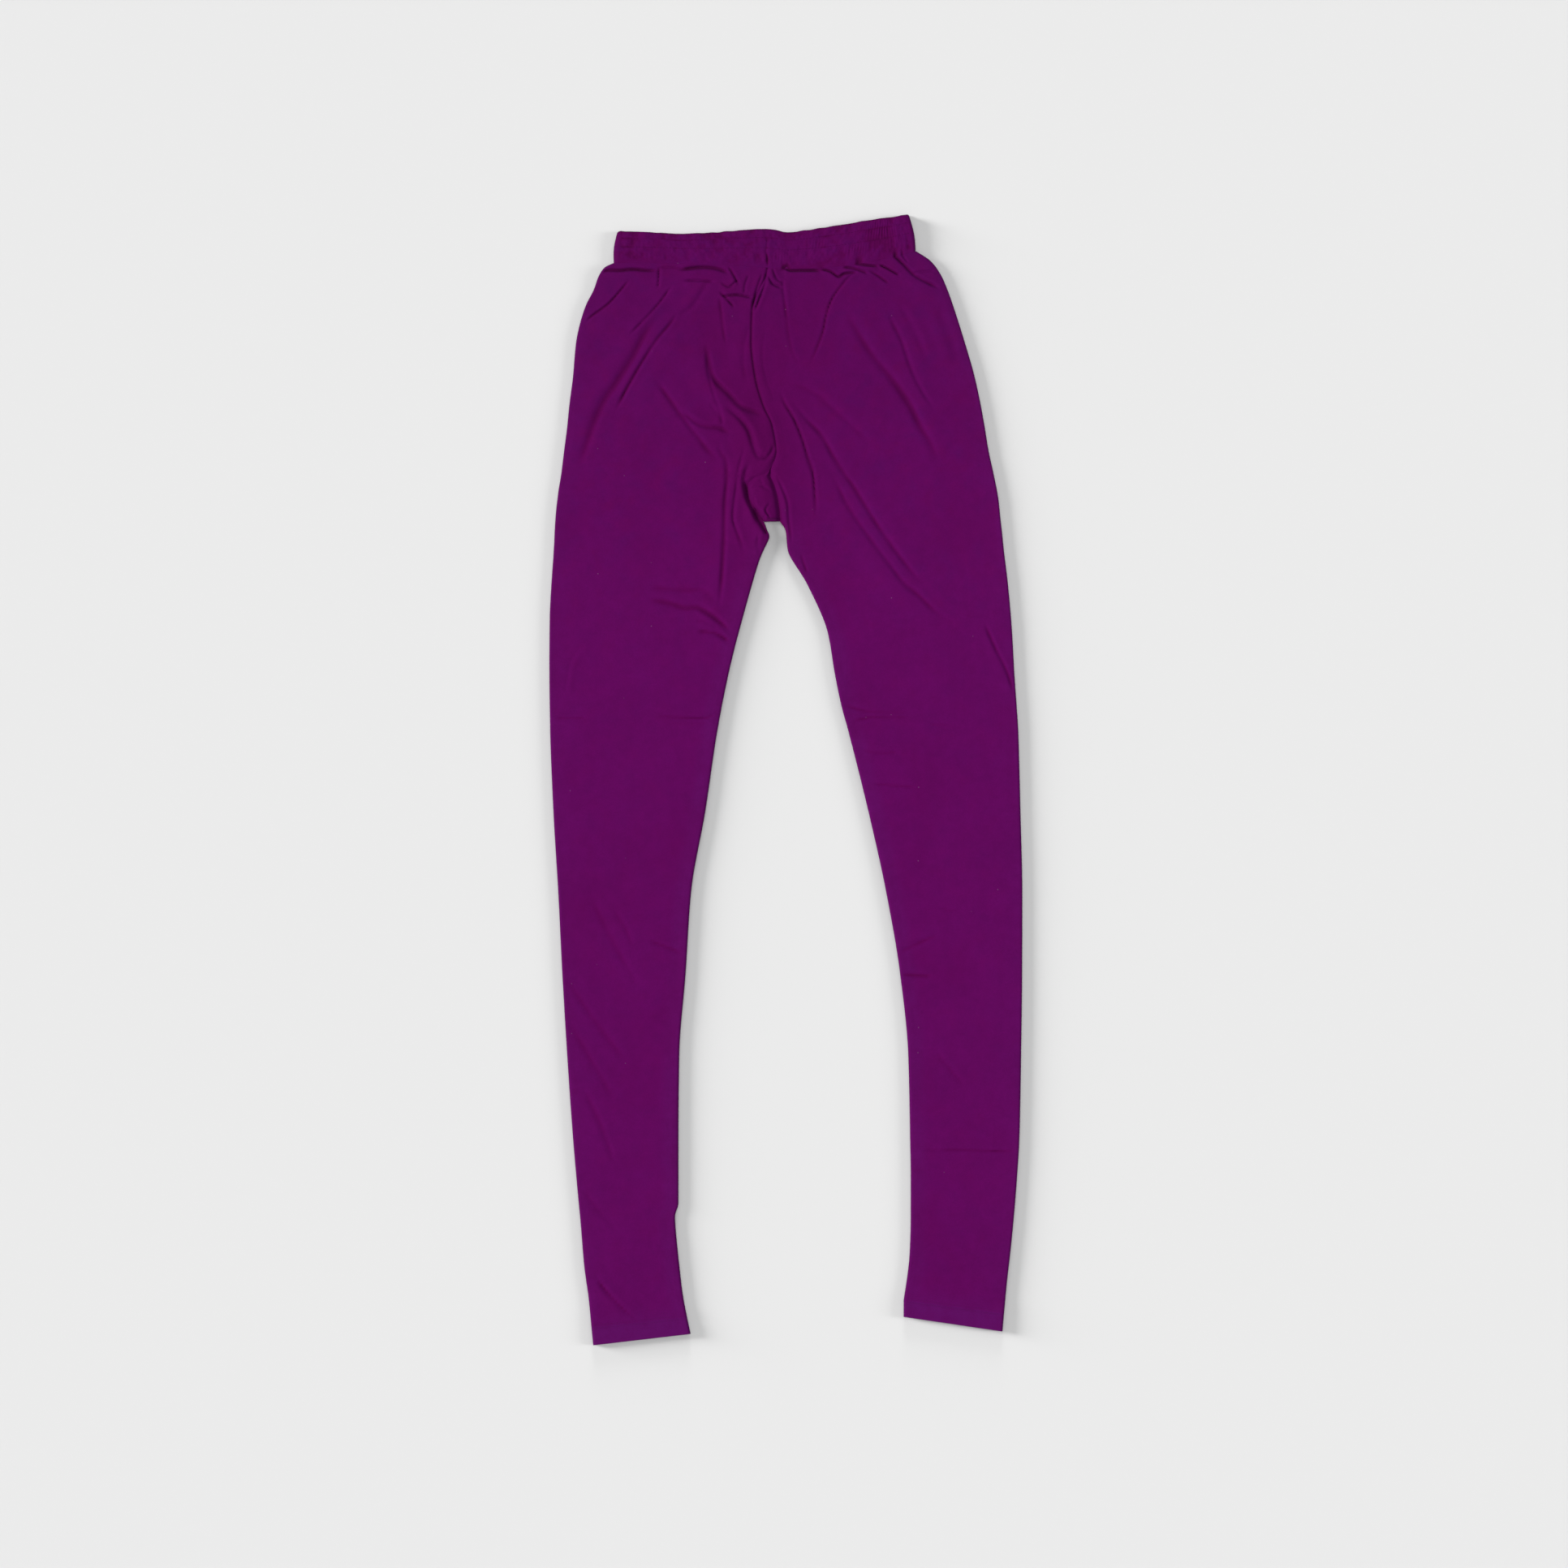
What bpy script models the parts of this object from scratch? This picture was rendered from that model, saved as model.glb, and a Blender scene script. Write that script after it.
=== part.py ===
"""Churidar pants laid flat: two leg panels, a crotch gusset and a gathered elastic waistband.

Metres, +Z up. The waist points along +Y and the front faces +Z. The back rests on the plane
Z = 0, with the origin under the middle of the garment. Right and left are the wearer's.

Each leg is one panel of knit cloth. It wraps round its outer fold and meets itself in the
inseam. Above the crotch the two panels meet in the centre seams and hold the gusset between.
"""

import math
from typing import NamedTuple

import bpy
import numpy as np

MM = 0.001

# Cloth
CLOTH = 1.0 * MM
HEM_CLOTH = 1.8 * MM
SEAM_GAP = 0.3 * MM
CLOTH_COLOUR = (0.109, 0.0038, 0.095, 1.0)
CLOTH_ROUGHNESS = 0.86

# Heights over the table of the outer face of the front layer
LAID_HEIGHT = 3.0 * MM
FOLD_EDGE_HEIGHT = 3.6 * MM
HEM_HEIGHT = 4.6 * MM
WAIST_HEIGHT = 5.2 * MM
LEAST_HEIGHT = 2.6 * MM
EDGE_LOFT_REACH = 9.0 * MM
WAIST_LIFT_REACH = 20.0 * MM
FOLD_FADE = 12.0 * MM
WAIST_FOLD_LOSS = 0.6  # share of a fold's rise that the waist seam takes up

# Shape of a fold, as shares of its length, reach and rise
FOLD_TAPER = 0.25
RIDGE_PLACE = 0.45
RIDGE_WIDTH = 0.38
CREASE_WIDTH = 0.2
CREASE_DEPTH = 0.35

# Hem at each ankle
HEM_DEPTH = 18.0 * MM
HEM_STITCH_DIP = 0.5 * MM
HEM_STITCH_WIDTH = 1.6 * MM

# Mesh density across a panel
FRONT_PARTS = 17
COLUMNS_DRAWN = 0.45  # how far the columns are drawn towards both edges of a panel
FAR_FROM_EDGE = 1.0
BACK_PARTS = 3
OUTER_BEND_DEGREES = (90, 45, 0, -45, -90)
INSEAM_BEND_DEGREES = (8, 50)
INSEAM_END_CLOSED = 0.6  # how far the panel's edges have come together just below the gusset
PATH_PARTS = 14

# Gusset
GUSSET_PARTS = 5
GUSSET_BEND_DEGREES = (90, 55, 20, -20, -55, -90)

# Waistband
BAND_WALL = 2.4 * MM
BAND_THICKNESS = 5.6 * MM
BAND_GATHERS = 100
BAND_BACK_PARTS = 8
BAND_END_DEGREES = (60, 30, 0, -30, -60)
BAND_END_SHARE = 0.01  # of the band's width, over which its way at an end is taken
GATHER_RISE = 0.36 * MM
GATHER_RIGHT = 0.75  # share of the rise at the right end
GATHER_LEFT = 1.25  # share of the rise at the left end
GATHER_WAVES = ((0.22, 0.83), (0.14, 2.17))  # size, and radians a station


class LegSection(NamedTuple):
    """A cut across one leg below the crotch, in millimetres."""

    outer_x: float
    outer_y: float
    inner_x: float
    inner_y: float
    steps: int  # mesh rows up to the next cut


class BodySection(NamedTuple):
    """A cut across both panels above the crotch, in millimetres."""

    right_x: float
    right_y: float
    right_edge_x: float
    right_edge_y: float
    left_edge_x: float
    left_edge_y: float
    left_x: float
    left_y: float
    right_bow: float  # how far the middle of the cut lies towards the waist
    left_bow: float
    steps: int


class BandSection(NamedTuple):
    """A cut up the waistband, in millimetres. Its foot stands on the waist seam."""

    top_x: float
    top_y: float
    foot_x: float


class BandRow(NamedTuple):
    """One row of points up the outside of the waistband."""

    share: float  # of the way from the waist seam to the top edge
    rise: float  # millimetres over the band's face
    gather: float  # share of the gather's full height


class Fold(NamedTuple):
    """A crease in the front layer with a soft ridge beside it, in millimetres.

    The ridge lies on the left of the way from start to end where reach is positive.
    """

    start_x: float
    start_y: float
    middle_x: float
    middle_y: float
    end_x: float
    end_y: float
    rise: float
    reach: float


class Puff(NamedTuple):
    """A soft hump in the front layer, in millimetres."""

    x: float
    y: float
    reach_x: float
    reach_y: float
    rise: float


# The right leg from its hem to the crotch, with the hem's stitch line in the third row
RIGHT_LEG = (
    LegSection(-190.0, -556.4, -94.0, -545.2, 1),
    LegSection(-191.6, -540.2, -97.2, -530.2, 1),
    LegSection(-191.8, -538.2, -97.6, -528.2, 1),
    LegSection(-192.0, -536.2, -98.0, -526.2, 1),
    LegSection(-194.4, -511.0, -101.6, -507.0, 1),
    LegSection(-198.8, -479.0, -105.2, -477.0, 1),
    LegSection(-202.8, -431.0, -109.4, -431.0, 1),
    LegSection(-204.4, -415.0, -106.0, -415.0, 2),
    LegSection(-210.0, -351.0, -106.0, -351.0, 2),
    LegSection(-215.6, -271.0, -105.2, -271.0, 2),
    LegSection(-220.4, -191.0, -99.0, -191.0, 2),
    LegSection(-224.4, -111.0, -93.6, -111.0, 2),
    LegSection(-229.2, -31.0, -79.6, -31.0, 2),
    LegSection(-232.4, 49.0, -67.6, 49.0, 2),
    LegSection(-233.2, 113.0, -54.8, 113.0, 2),
    LegSection(-232.8, 161.0, -42.4, 161.0, 3),
    LegSection(-229.4, 219.0, -25.4, 219.0, 1),
    LegSection(-228.4, 236.0, -16.4, 240.0, 1),
    LegSection(-228.0, 245.5, -18.6, 246.6, 1),
)

# The left leg from its hem to the crotch
LEFT_LEG = (
    LegSection(213.2, -542.8, 115.8, -528.4, 1),
    LegSection(214.6, -526.6, 115.8, -513.4, 1),
    LegSection(214.8, -524.6, 116.0, -511.4, 1),
    LegSection(215.0, -522.6, 116.2, -509.4, 1),
    LegSection(217.6, -495.0, 119.2, -490.0, 1),
    LegSection(220.8, -467.0, 121.8, -465.0, 1),
    LegSection(224.4, -431.0, 122.8, -431.0, 1),
    LegSection(227.6, -391.0, 122.8, -391.0, 1),
    LegSection(230.0, -351.0, 122.2, -351.0, 2),
    LegSection(231.6, -271.0, 120.4, -271.0, 2),
    LegSection(232.6, -191.0, 112.4, -191.0, 2),
    LegSection(232.8, -111.0, 98.8, -111.0, 2),
    LegSection(231.0, -31.0, 81.2, -31.0, 2),
    LegSection(228.8, 49.0, 61.2, 49.0, 1),
    LegSection(227.2, 74.0, 54.4, 74.0, 1),
    LegSection(225.0, 105.0, 48.0, 105.0, 2),
    LegSection(222.8, 145.0, 41.2, 145.0, 2),
    LegSection(219.0, 190.0, 21.4, 192.0, 2),
    LegSection(214.6, 227.0, 1.6, 227.0, 1),
    LegSection(213.0, 243.0, -0.6, 246.0, 1),
)

# Across the gusset, from its folded foot to its point
GUSSET_BODY = (
    BodySection(-227.4, 255.2, -21.6, 254.6, -6.1, 255.0, 211.6, 255.2, 0, 0, 1),
    BodySection(-226.8, 263.0, -27.4, 262.4, -6.2, 263.0, 210.8, 263.0, 0, 0, 1),
    BodySection(-226.0, 271.0, -33.0, 270.8, -7.2, 271.0, 210.0, 271.0, 0, 0, 1),
    BodySection(-225.0, 279.0, -37.6, 279.8, -8.4, 279.0, 209.0, 279.0, 0, 0, 1),
    BodySection(-224.0, 287.0, -38.6, 289.0, -10.4, 287.0, 207.6, 287.0, 0, 0, 1),
    BodySection(-222.6, 295.0, -32.4, 297.4, -13.0, 294.0, 206.0, 295.0, 0, 0, 1),
    BodySection(-221.4, 302.5, -20.8, 302.4, -15.4, 299.6, 204.4, 302.5, 0, 0, 1),
)

# Across the centre front seam, from the gusset's point to the waist seam
SEAM_BODY = (
    BodySection(-220.6, 309.0, -15.6, 306.4, -15.6, 306.4, 203.0, 309.0, 0, 0, 1),
    BodySection(-218.8, 323.6, -9.4, 323.6, -9.4, 323.6, 199.8, 323.6, 0, 0, 2),
    BodySection(-215.6, 349.0, -13.2, 349.0, -13.2, 349.0, 195.6, 349.0, 0, 0, 2),
    BodySection(-213.6, 369.0, -22.0, 369.0, -22.0, 369.0, 192.0, 369.0, 0, 0, 2),
    BodySection(-210.0, 397.0, -30.0, 397.0, -30.0, 397.0, 186.0, 397.0, 0, 0, 3),
    BodySection(-206.8, 432.0, -34.0, 432.0, -34.0, 432.0, 176.0, 432.0, 0, 0, 3),
    BodySection(-198.0, 466.0, -33.0, 466.0, -33.0, 466.0, 165.2, 466.0, 0, 0, 2),
    BodySection(-189.6, 483.0, -26.4, 483.0, -26.4, 483.0, 158.8, 484.0, 0, -1.0, 1),
    BodySection(-184.4, 497.0, -20.8, 494.0, -20.8, 494.0, 152.0, 499.0, 0.6, -3.0, 1),
    BodySection(-178.4, 505.4, -18.8, 500.6, -18.8, 500.6, 142.6, 511.4, 1.2, -5.0, 1),
    BodySection(-170.6, 509.2, -18.0, 504.6, -18.0, 504.6, 128.6, 521.0, 1.5, -6.5, 0),
)

BAND = (
    BandSection(-166.4, 540.2, -169.6),
    BandSection(-99.0, 537.6, -95.0),
    BandSection(-19.0, 542.0, -18.0),
    BandSection(3.0, 538.8, 2.0),
    BandSection(49.0, 545.2, 44.0),
    BandSection(90.0, 551.6, 88.0),
    BandSection(121.4, 556.4, 127.6),
)

# From the waist seam to the top edge, with a stitched groove in the fourth and sixth rows
BAND_ROWS = (
    BandRow(0.0, -0.9, 0.3),
    BandRow(0.07, 0.0, 0.8),
    BandRow(0.24, 0.2, 1.0),
    BandRow(0.42, -0.4, 0.5),
    BandRow(0.60, 0.2, 1.0),
    BandRow(0.78, -0.4, 0.5),
    BandRow(0.94, 0.0, 1.0),
    BandRow(1.0, -0.9, 0.5),
)

FOLDS = (
    # Right panel, fanning from the waist to the outer fold
    Fold(-150.0, 496.0, -172.0, 474.0, -192.0, 446.0, 1.8, 26.0),
    Fold(-108.0, 466.0, -142.0, 412.0, -172.0, 346.0, 2.6, 34.0),
    Fold(-138.0, 437.0, -180.0, 374.0, -206.0, 280.0, 1.8, -30.0),
    # Right panel, drawn in towards the gusset
    Fold(-138.0, 396.0, -98.0, 356.0, -58.0, 322.0, 2.6, 32.0),
    Fold(-80.0, 430.0, -56.0, 380.0, -20.0, 346.0, 3.4, -30.0),
    Fold(-56.0, 326.0, -60.0, 244.0, -66.0, 166.0, 3.2, -32.0),
    Fold(-128.0, 200.0, -92.0, 174.0, -52.0, 156.0, 2.0, 28.0),
    # Left panel, from the gusset towards the outer fold
    Fold(2.0, 384.0, 24.0, 342.0, 30.0, 272.0, 2.4, 28.0),
    Fold(10.0, 366.0, 66.0, 290.0, 156.0, 182.0, 3.0, 34.0),
    Fold(40.0, 310.0, 92.0, 222.0, 160.0, 150.0, 2.0, -32.0),
    # Left panel, fanning from the waist
    Fold(54.0, 462.0, 110.0, 390.0, 150.0, 304.0, 2.6, 32.0),
    Fold(96.0, 486.0, 118.0, 430.0, 148.0, 362.0, 1.8, 28.0),
    Fold(196.0, 156.0, 208.0, 124.0, 222.0, 84.0, 1.4, -24.0),
    # Under the waist seam
    Fold(-182.0, 499.0, -152.0, 502.0, -120.0, 502.0, 1.6, -20.0),
    Fold(-106.0, 503.0, -76.0, 503.0, -44.0, 496.0, 2.2, -20.0),
    Fold(-6.0, 499.0, 34.0, 497.0, 80.0, 502.0, 1.8, -20.0),
    Fold(100.0, 517.0, 122.0, 502.0, 148.0, 484.0, 2.2, -20.0),
    # Right of the centre seam, down to the gusset
    Fold(-30.0, 474.0, -31.0, 430.0, -22.0, 372.0, 1.8, 26.0),
)

PUFFS = (
    Puff(-26.0, 296.0, 34.0, 46.0, 3.4),
    Puff(-14.0, 262.0, 26.0, 24.0, 1.8),
    Puff(-14.0, 486.0, 24.0, 16.0, 2.0),
    Puff(-62.0, 488.0, 34.0, 14.0, 1.2),
)


def smoothstep(share):
    """Eases from 0 to 1 as the share does, flat at both ends."""
    share = np.clip(share, 0.0, 1.0)
    return share * share * (3.0 - 2.0 * share)


def shared_rate(before, after):
    """Rate of change at a row between two chords: their harmonic mean, or 0 at a turn."""
    same_way = before * after > 0
    total = np.where(same_way, before + after, 1.0)
    return np.where(same_way, 2.0 * before * after / total, 0.0)


def eased_at(values, place, breaks=()):
    """Value at a fractional row of a table, on cubics that never pass a row's value.

    The curve may turn a corner at the rows in breaks.
    """
    chords = np.diff(values, axis=0)
    last = len(chords) - 1
    row = min(int(place), last)
    t = place - row
    chord = chords[row]
    corner_before = row == 0 or row in breaks
    corner_after = row == last or row + 1 in breaks
    leaving = chord if corner_before else shared_rate(chords[row - 1], chord)
    reaching = chord if corner_after else shared_rate(chord, chords[row + 1])
    eased = values[row] + smoothstep(t) * chord
    return eased + t * (1.0 - t) ** 2 * leaving + t * t * (t - 1.0) * reaching


def eased_columns(values, steps, breaks=()):
    """Rows of the table with steps[i] rows from row i on, eased between them."""
    rows = range(len(values) - 1)
    places = [row + part / steps[row] for row in rows for part in range(steps[row])]
    places.append(len(values) - 1)
    return np.array([eased_at(np.asarray(values, float), place, breaks) for place in places])


def waist_seam_y(x, bow_share=1.0):
    """Y of the waist seam over each X, from the last cut of the body.

    The bow share is 1 on the front layer and 0 on the back one, where the seam lies straight.
    """
    top = SEAM_BODY[-1]
    across_right = (x / MM - top.right_edge_x) / (top.right_x - top.right_edge_x)
    across_left = (x / MM - top.left_edge_x) / (top.left_x - top.left_edge_x)
    right_bow = 4.0 * top.right_bow * bow_share * across_right * (1.0 - across_right)
    left_bow = 4.0 * top.left_bow * bow_share * across_left * (1.0 - across_left)
    right_y = top.right_edge_y + across_right * (top.right_y - top.right_edge_y) + right_bow
    left_y = top.left_edge_y + across_left * (top.left_y - top.left_edge_y) + left_bow
    return np.where(x < top.left_edge_x * MM, right_y, left_y) * MM


def fold_path(fold):
    """Points along a crease, an arc through its start, middle and end."""
    start = np.array([fold.start_x, fold.start_y]) * MM
    middle = np.array([fold.middle_x, fold.middle_y]) * MM
    end = np.array([fold.end_x, fold.end_y]) * MM
    handle = 2.0 * middle - 0.5 * (start + end)
    share = np.linspace(0.0, 1.0, PATH_PARTS + 1)[:, None]
    return (1 - share) ** 2 * start + 2 * share * (1 - share) * handle + share**2 * end


def fold_rise(fold, x, y):
    """How far a fold lifts the cloth at each point: a ridge beside a shallow crease."""
    path = fold_path(fold)
    ways = np.gradient(path, axis=0)
    ways /= np.linalg.norm(ways, axis=1)[:, None]
    off_x = x[..., None] - path[:, 0]
    off_y = y[..., None] - path[:, 1]
    nearest = np.argmin(off_x**2 + off_y**2, axis=-1)
    off_x = np.take_along_axis(off_x, nearest[..., None], -1)[..., 0]
    off_y = np.take_along_axis(off_y, nearest[..., None], -1)[..., 0]
    along = off_x * ways[nearest, 0] + off_y * ways[nearest, 1]
    side = off_y * ways[nearest, 0] - off_x * ways[nearest, 1]
    reach = abs(fold.reach) * MM
    side = side * math.copysign(1.0, fold.reach) / reach
    length = np.linalg.norm(np.diff(path, axis=0), axis=1).sum()
    share = nearest / PATH_PARTS + along / length
    taper = smoothstep(share / FOLD_TAPER) * smoothstep((1.0 - share) / FOLD_TAPER)
    ridge = np.exp(-(((side - RIDGE_PLACE) / RIDGE_WIDTH) ** 2))
    crease = CREASE_DEPTH * np.exp(-((side / CREASE_WIDTH) ** 2))
    return fold.rise * MM * taper * (ridge - crease)


def puff_rise(puff, x, y):
    """How far a puff lifts the cloth at each point."""
    across = (x / MM - puff.x) / puff.reach_x
    along = (y / MM - puff.y) / puff.reach_y
    return puff.rise * MM * np.exp(-(across**2 + along**2))


def front_height(x, y, edge_distance, hem_distance):
    """Z of the outer face of the front layer at each point of the plan."""
    edge_rise = (FOLD_EDGE_HEIGHT - LAID_HEIGHT) * np.exp(-edge_distance / EDGE_LOFT_REACH)
    under_seam = np.maximum(waist_seam_y(x) - y, 0.0)
    waist_share = np.exp(-((under_seam / WAIST_LIFT_REACH) ** 2))
    hem_share = 1.0 - smoothstep((hem_distance - HEM_DEPTH) / HEM_DEPTH)
    height = LAID_HEIGHT + edge_rise
    height = height + waist_share * (WAIST_HEIGHT - height)
    height = height + hem_share * (HEM_HEIGHT - height)
    off_stitch = (hem_distance - HEM_DEPTH) / HEM_STITCH_WIDTH
    height = height - HEM_STITCH_DIP * np.exp(-(off_stitch**2))
    free = smoothstep(edge_distance / FOLD_FADE) * (1.0 - hem_share)
    free = free * (1.0 - WAIST_FOLD_LOSS * waist_share)
    for fold in FOLDS:
        height = height + free * fold_rise(fold, x, y)
    for puff in PUFFS:
        height = height + puff_rise(puff, x, y)
    return np.maximum(height, LEAST_HEIGHT)


def edge_moved(points, breaks, distance):
    """The edge moved sideways by the distance, to the left of its way up the garment."""
    ways = np.gradient(points, axis=0)
    for row in breaks:
        ways[row] = points[row + 1] - points[row]
        ways[row - 1] = points[row - 1] - points[row - 2]
    ways /= np.linalg.norm(ways, axis=1)[:, None]
    return points + distance * np.column_stack([-ways[:, 1], ways[:, 0]])


def panel_rows(leg, side):
    """Outer and inner ends, bow, and openness of each mesh row of a leg panel.

    The side is -1 for the right panel and 1 for the left one.
    """
    body = GUSSET_BODY + SEAM_BODY
    if side < 0:
        upper = [(s.right_x, s.right_y, s.right_edge_x, s.right_edge_y, s.right_bow) for s in body]
    else:
        upper = [(s.left_x, s.left_y, s.left_edge_x, s.left_edge_y, s.left_bow) for s in body]
    lower = [(s.outer_x, s.outer_y, s.inner_x, s.inner_y, 0.0) for s in leg]
    table = np.array(lower + upper)
    steps = [s.steps for s in leg] + [s.steps for s in body]
    gusset_row = len(leg)
    seam_row = gusset_row + len(GUSSET_BODY)
    outer = eased_columns(table[:, :2], steps) * MM
    inner = eased_columns(table[:, 2:4], steps, (gusset_row, seam_row)) * MM
    bow = eased_columns(table[:, 4:], steps)[:, 0] * MM
    first_open = sum(steps[:gusset_row])
    first_seam = sum(steps[:seam_row])
    closed = np.where(np.arange(len(outer)) < first_open, 1.0, 0.0)
    closed[first_open - 1] = INSEAM_END_CLOSED
    moved = edge_moved(inner, (first_open, first_seam), -side * SEAM_GAP / 2)
    inner = np.where(closed[:, None] < 1.0, moved, inner)
    return outer, inner, bow, closed


def panel_columns():
    """Shares of the way from the inner edge to the outer fold, closer near both ends."""
    even = np.linspace(0.0, 1.0, FRONT_PARTS + 1)
    drawn = 0.5 - 0.5 * np.cos(math.pi * even)
    return even + COLUMNS_DRAWN * (drawn - even)


def leg_panel_points(leg, side):
    """Grid of points of a panel, from its front inner edge round the outer fold to its back."""
    outer, inner, bow, closed = panel_rows(leg, side)
    hem_distance = np.hypot(*(outer - outer[0]).T)
    across = outer - inner
    width = np.linalg.norm(across, axis=1)
    across /= width[:, None]

    def plan(distance, bow_share=1.0):
        """Plan points at a distance in from the inner edge, for every row."""
        share = distance / width
        points = inner + across * distance[:, None]
        points[:, 1] += 4.0 * bow * bow_share * share * (1.0 - share)
        return points

    def height(distance):
        """Front height at a distance in from the inner edge, for every row."""
        points = plan(distance)
        from_inner = np.where(closed > 0.0, distance, FAR_FROM_EDGE)
        edge_distance = np.minimum(width - distance, from_inner)
        return front_height(points[:, 0], points[:, 1], edge_distance, hem_distance)

    inner_radius = height(np.zeros_like(width)) / 2
    outer_radius = height(width) / 2
    front, back = [], []
    for degrees in INSEAM_BEND_DEGREES:
        angle = math.radians(degrees)
        distance = inner_radius * (1.0 - math.cos(angle))
        bent = inner_radius * (1.0 + math.sin(angle))
        level = height(distance)
        front.append(np.column_stack([plan(distance), level + closed * (bent - level)]))
        back.append(np.column_stack([plan(distance, 0.0), closed * (2 * inner_radius - bent)]))
    start = inner_radius
    flat = width - inner_radius - outer_radius
    for share in panel_columns()[:-1]:
        distance = start + share * flat
        front.append(np.column_stack([plan(distance), height(distance)]))
    fold = []
    for degrees in OUTER_BEND_DEGREES:
        angle = math.radians(degrees)
        distance = width - outer_radius * (1.0 - math.cos(angle))
        up = 1.0 + math.sin(angle)
        fold.append(np.column_stack([plan(distance, up / 2), outer_radius * up]))
    under = []
    for part in range(1, BACK_PARTS + 1):
        distance = width - outer_radius - part / BACK_PARTS * flat
        under.append(np.column_stack([plan(distance, 0.0), np.zeros_like(width)]))
    columns = front + fold + under + back[::-1]
    return np.stack(columns, axis=1), hem_distance


def gusset_points():
    """Grid of points of the gusset, from its front point round its folded foot to its back."""
    body = GUSSET_BODY
    steps = [1] * len(body)
    right = eased_columns([(s.right_edge_x, s.right_edge_y) for s in body], steps) * MM
    left = eased_columns([(s.left_edge_x, s.left_edge_y) for s in body], steps) * MM
    right = edge_moved(right, (), -SEAM_GAP / 2)
    left = edge_moved(left, (), SEAM_GAP / 2)
    shares = np.linspace(0.0, 1.0, GUSSET_PARTS + 1)[:, None]
    far = np.full(GUSSET_PARTS + 1, FAR_FROM_EDGE)

    def row(index):
        """Plan points across the gusset at one of its cuts."""
        return right[index] + shares * (left[index] - right[index])

    def height(points):
        """Front height at points of the plan."""
        return front_height(points[:, 0], points[:, 1], far, far)

    foot = row(0)
    radius = height(foot).mean() / 2
    front = [np.column_stack([row(i), height(row(i))]) for i in range(len(body) - 1, 0, -1)]
    fold = []
    for degrees in GUSSET_BEND_DEGREES:
        angle = math.radians(degrees)
        points = foot + np.array([0.0, radius * (1.0 - math.cos(angle))])
        fold.append(np.column_stack([points, np.full(len(foot), radius * (1 + math.sin(angle)))]))
    back = [np.column_stack([row(i), np.zeros(len(foot))]) for i in range(1, len(body))]
    return np.array(front + fold + back)


def gather_height(station):
    """Height of a station of the gathered band, a crest and a trough by turns.

    Slow waves make the crests uneven, and they stand higher towards the left end.
    """
    share = station / (2 * BAND_GATHERS)
    waves = [size * math.sin(station * rate) for size, rate in GATHER_WAVES]
    stronger = GATHER_RIGHT + (GATHER_LEFT - GATHER_RIGHT) * float(smoothstep(2 * share - 1))
    turn = 1.0 if station % 2 else -1.0
    return GATHER_RISE * turn * (1.0 + sum(waves)) * stronger


def band_plan(share, bow_share):
    """Foot and top of the waistband at a share of the way from its right end to its left."""
    table = np.array([(cut.top_x, cut.top_y, cut.foot_x) for cut in BAND])
    value = eased_at(table, share * (len(BAND) - 1))
    foot_x = value[2] * MM
    foot_y = float(waist_seam_y(np.array(foot_x), bow_share)) + SEAM_GAP
    return np.array([foot_x, foot_y]), value[:2] * MM


def band_ring(share, outward, degrees, gather):
    """Points round the waistband's wall at one station of its flattened loop.

    The outward value is -1 at the right end and 1 at the left one, and 90 degrees is the
    front layer and -90 degrees the back one.
    """
    angle = math.radians(degrees)
    bow_share = (1.0 + math.sin(angle)) / 2
    foot, top = band_plan(share, bow_share)
    foot_before, top_before = band_plan(share - outward * BAND_END_SHARE, bow_share)
    foot_way = (foot - foot_before) / BAND_END_SHARE
    top_way = (top - top_before) / BAND_END_SHARE
    radius = BAND_THICKNESS / 2
    width = (BAND[-1].top_x - BAND[0].top_x) * MM
    facing_up = max(math.sin(angle), 0.0)

    def spot(row_share, bend_radius):
        """Plan point up the wall, moved out round the end of the loop."""
        way = foot_way + row_share * (top_way - foot_way)
        on_line = foot + row_share * (top - foot)
        return on_line + way * bend_radius * math.cos(angle) / width

    ring = []
    for row in BAND_ROWS:
        rise = (row.rise * MM + gather * row.gather) * facing_up
        x, y = spot(row.share, radius)
        ring.append((x, y, radius + (radius + rise) * math.sin(angle)))
    inside = radius - BAND_WALL
    for row_share in (1.0, 0.0):
        x, y = spot(row_share, inside)
        ring.append((x, y, radius + inside * math.sin(angle)))
    return ring


def band_points():
    """Rings of points round the flattened loop of the waistband."""
    radius = BAND_THICKNESS / 2
    width = (BAND[-1].top_x - BAND[0].top_x) * MM
    inset = radius / width
    rings = []
    for station in range(2 * BAND_GATHERS + 1):
        share = inset + (1 - 2 * inset) * station / (2 * BAND_GATHERS)
        rings.append(band_ring(share, 0, 90, gather_height(station)))
    for degrees in BAND_END_DEGREES:
        rings.append(band_ring(1 - inset, 1, degrees, 0.0))
    for station in range(BAND_BACK_PARTS + 1):
        share = 1 - inset - (1 - 2 * inset) * station / BAND_BACK_PARTS
        rings.append(band_ring(share, 0, -90, 0.0))
    for degrees in reversed(BAND_END_DEGREES):
        rings.append(band_ring(inset, -1, degrees, 0.0))
    return np.array(rings)


def grid_faces(rows, columns, closed, flipped):
    """Quads over a grid of points, joined end to end both ways where it is closed."""
    last_row = rows if closed else rows - 1
    last_column = columns if closed else columns - 1
    faces = []
    for row in range(last_row):
        for column in range(last_column):
            next_row = (row + 1) % rows
            next_column = (column + 1) % columns
            corners = [
                row * columns + column,
                row * columns + next_column,
                next_row * columns + next_column,
                next_row * columns + column,
            ]
            faces.append(corners[::-1] if flipped else corners)
    return faces


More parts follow.
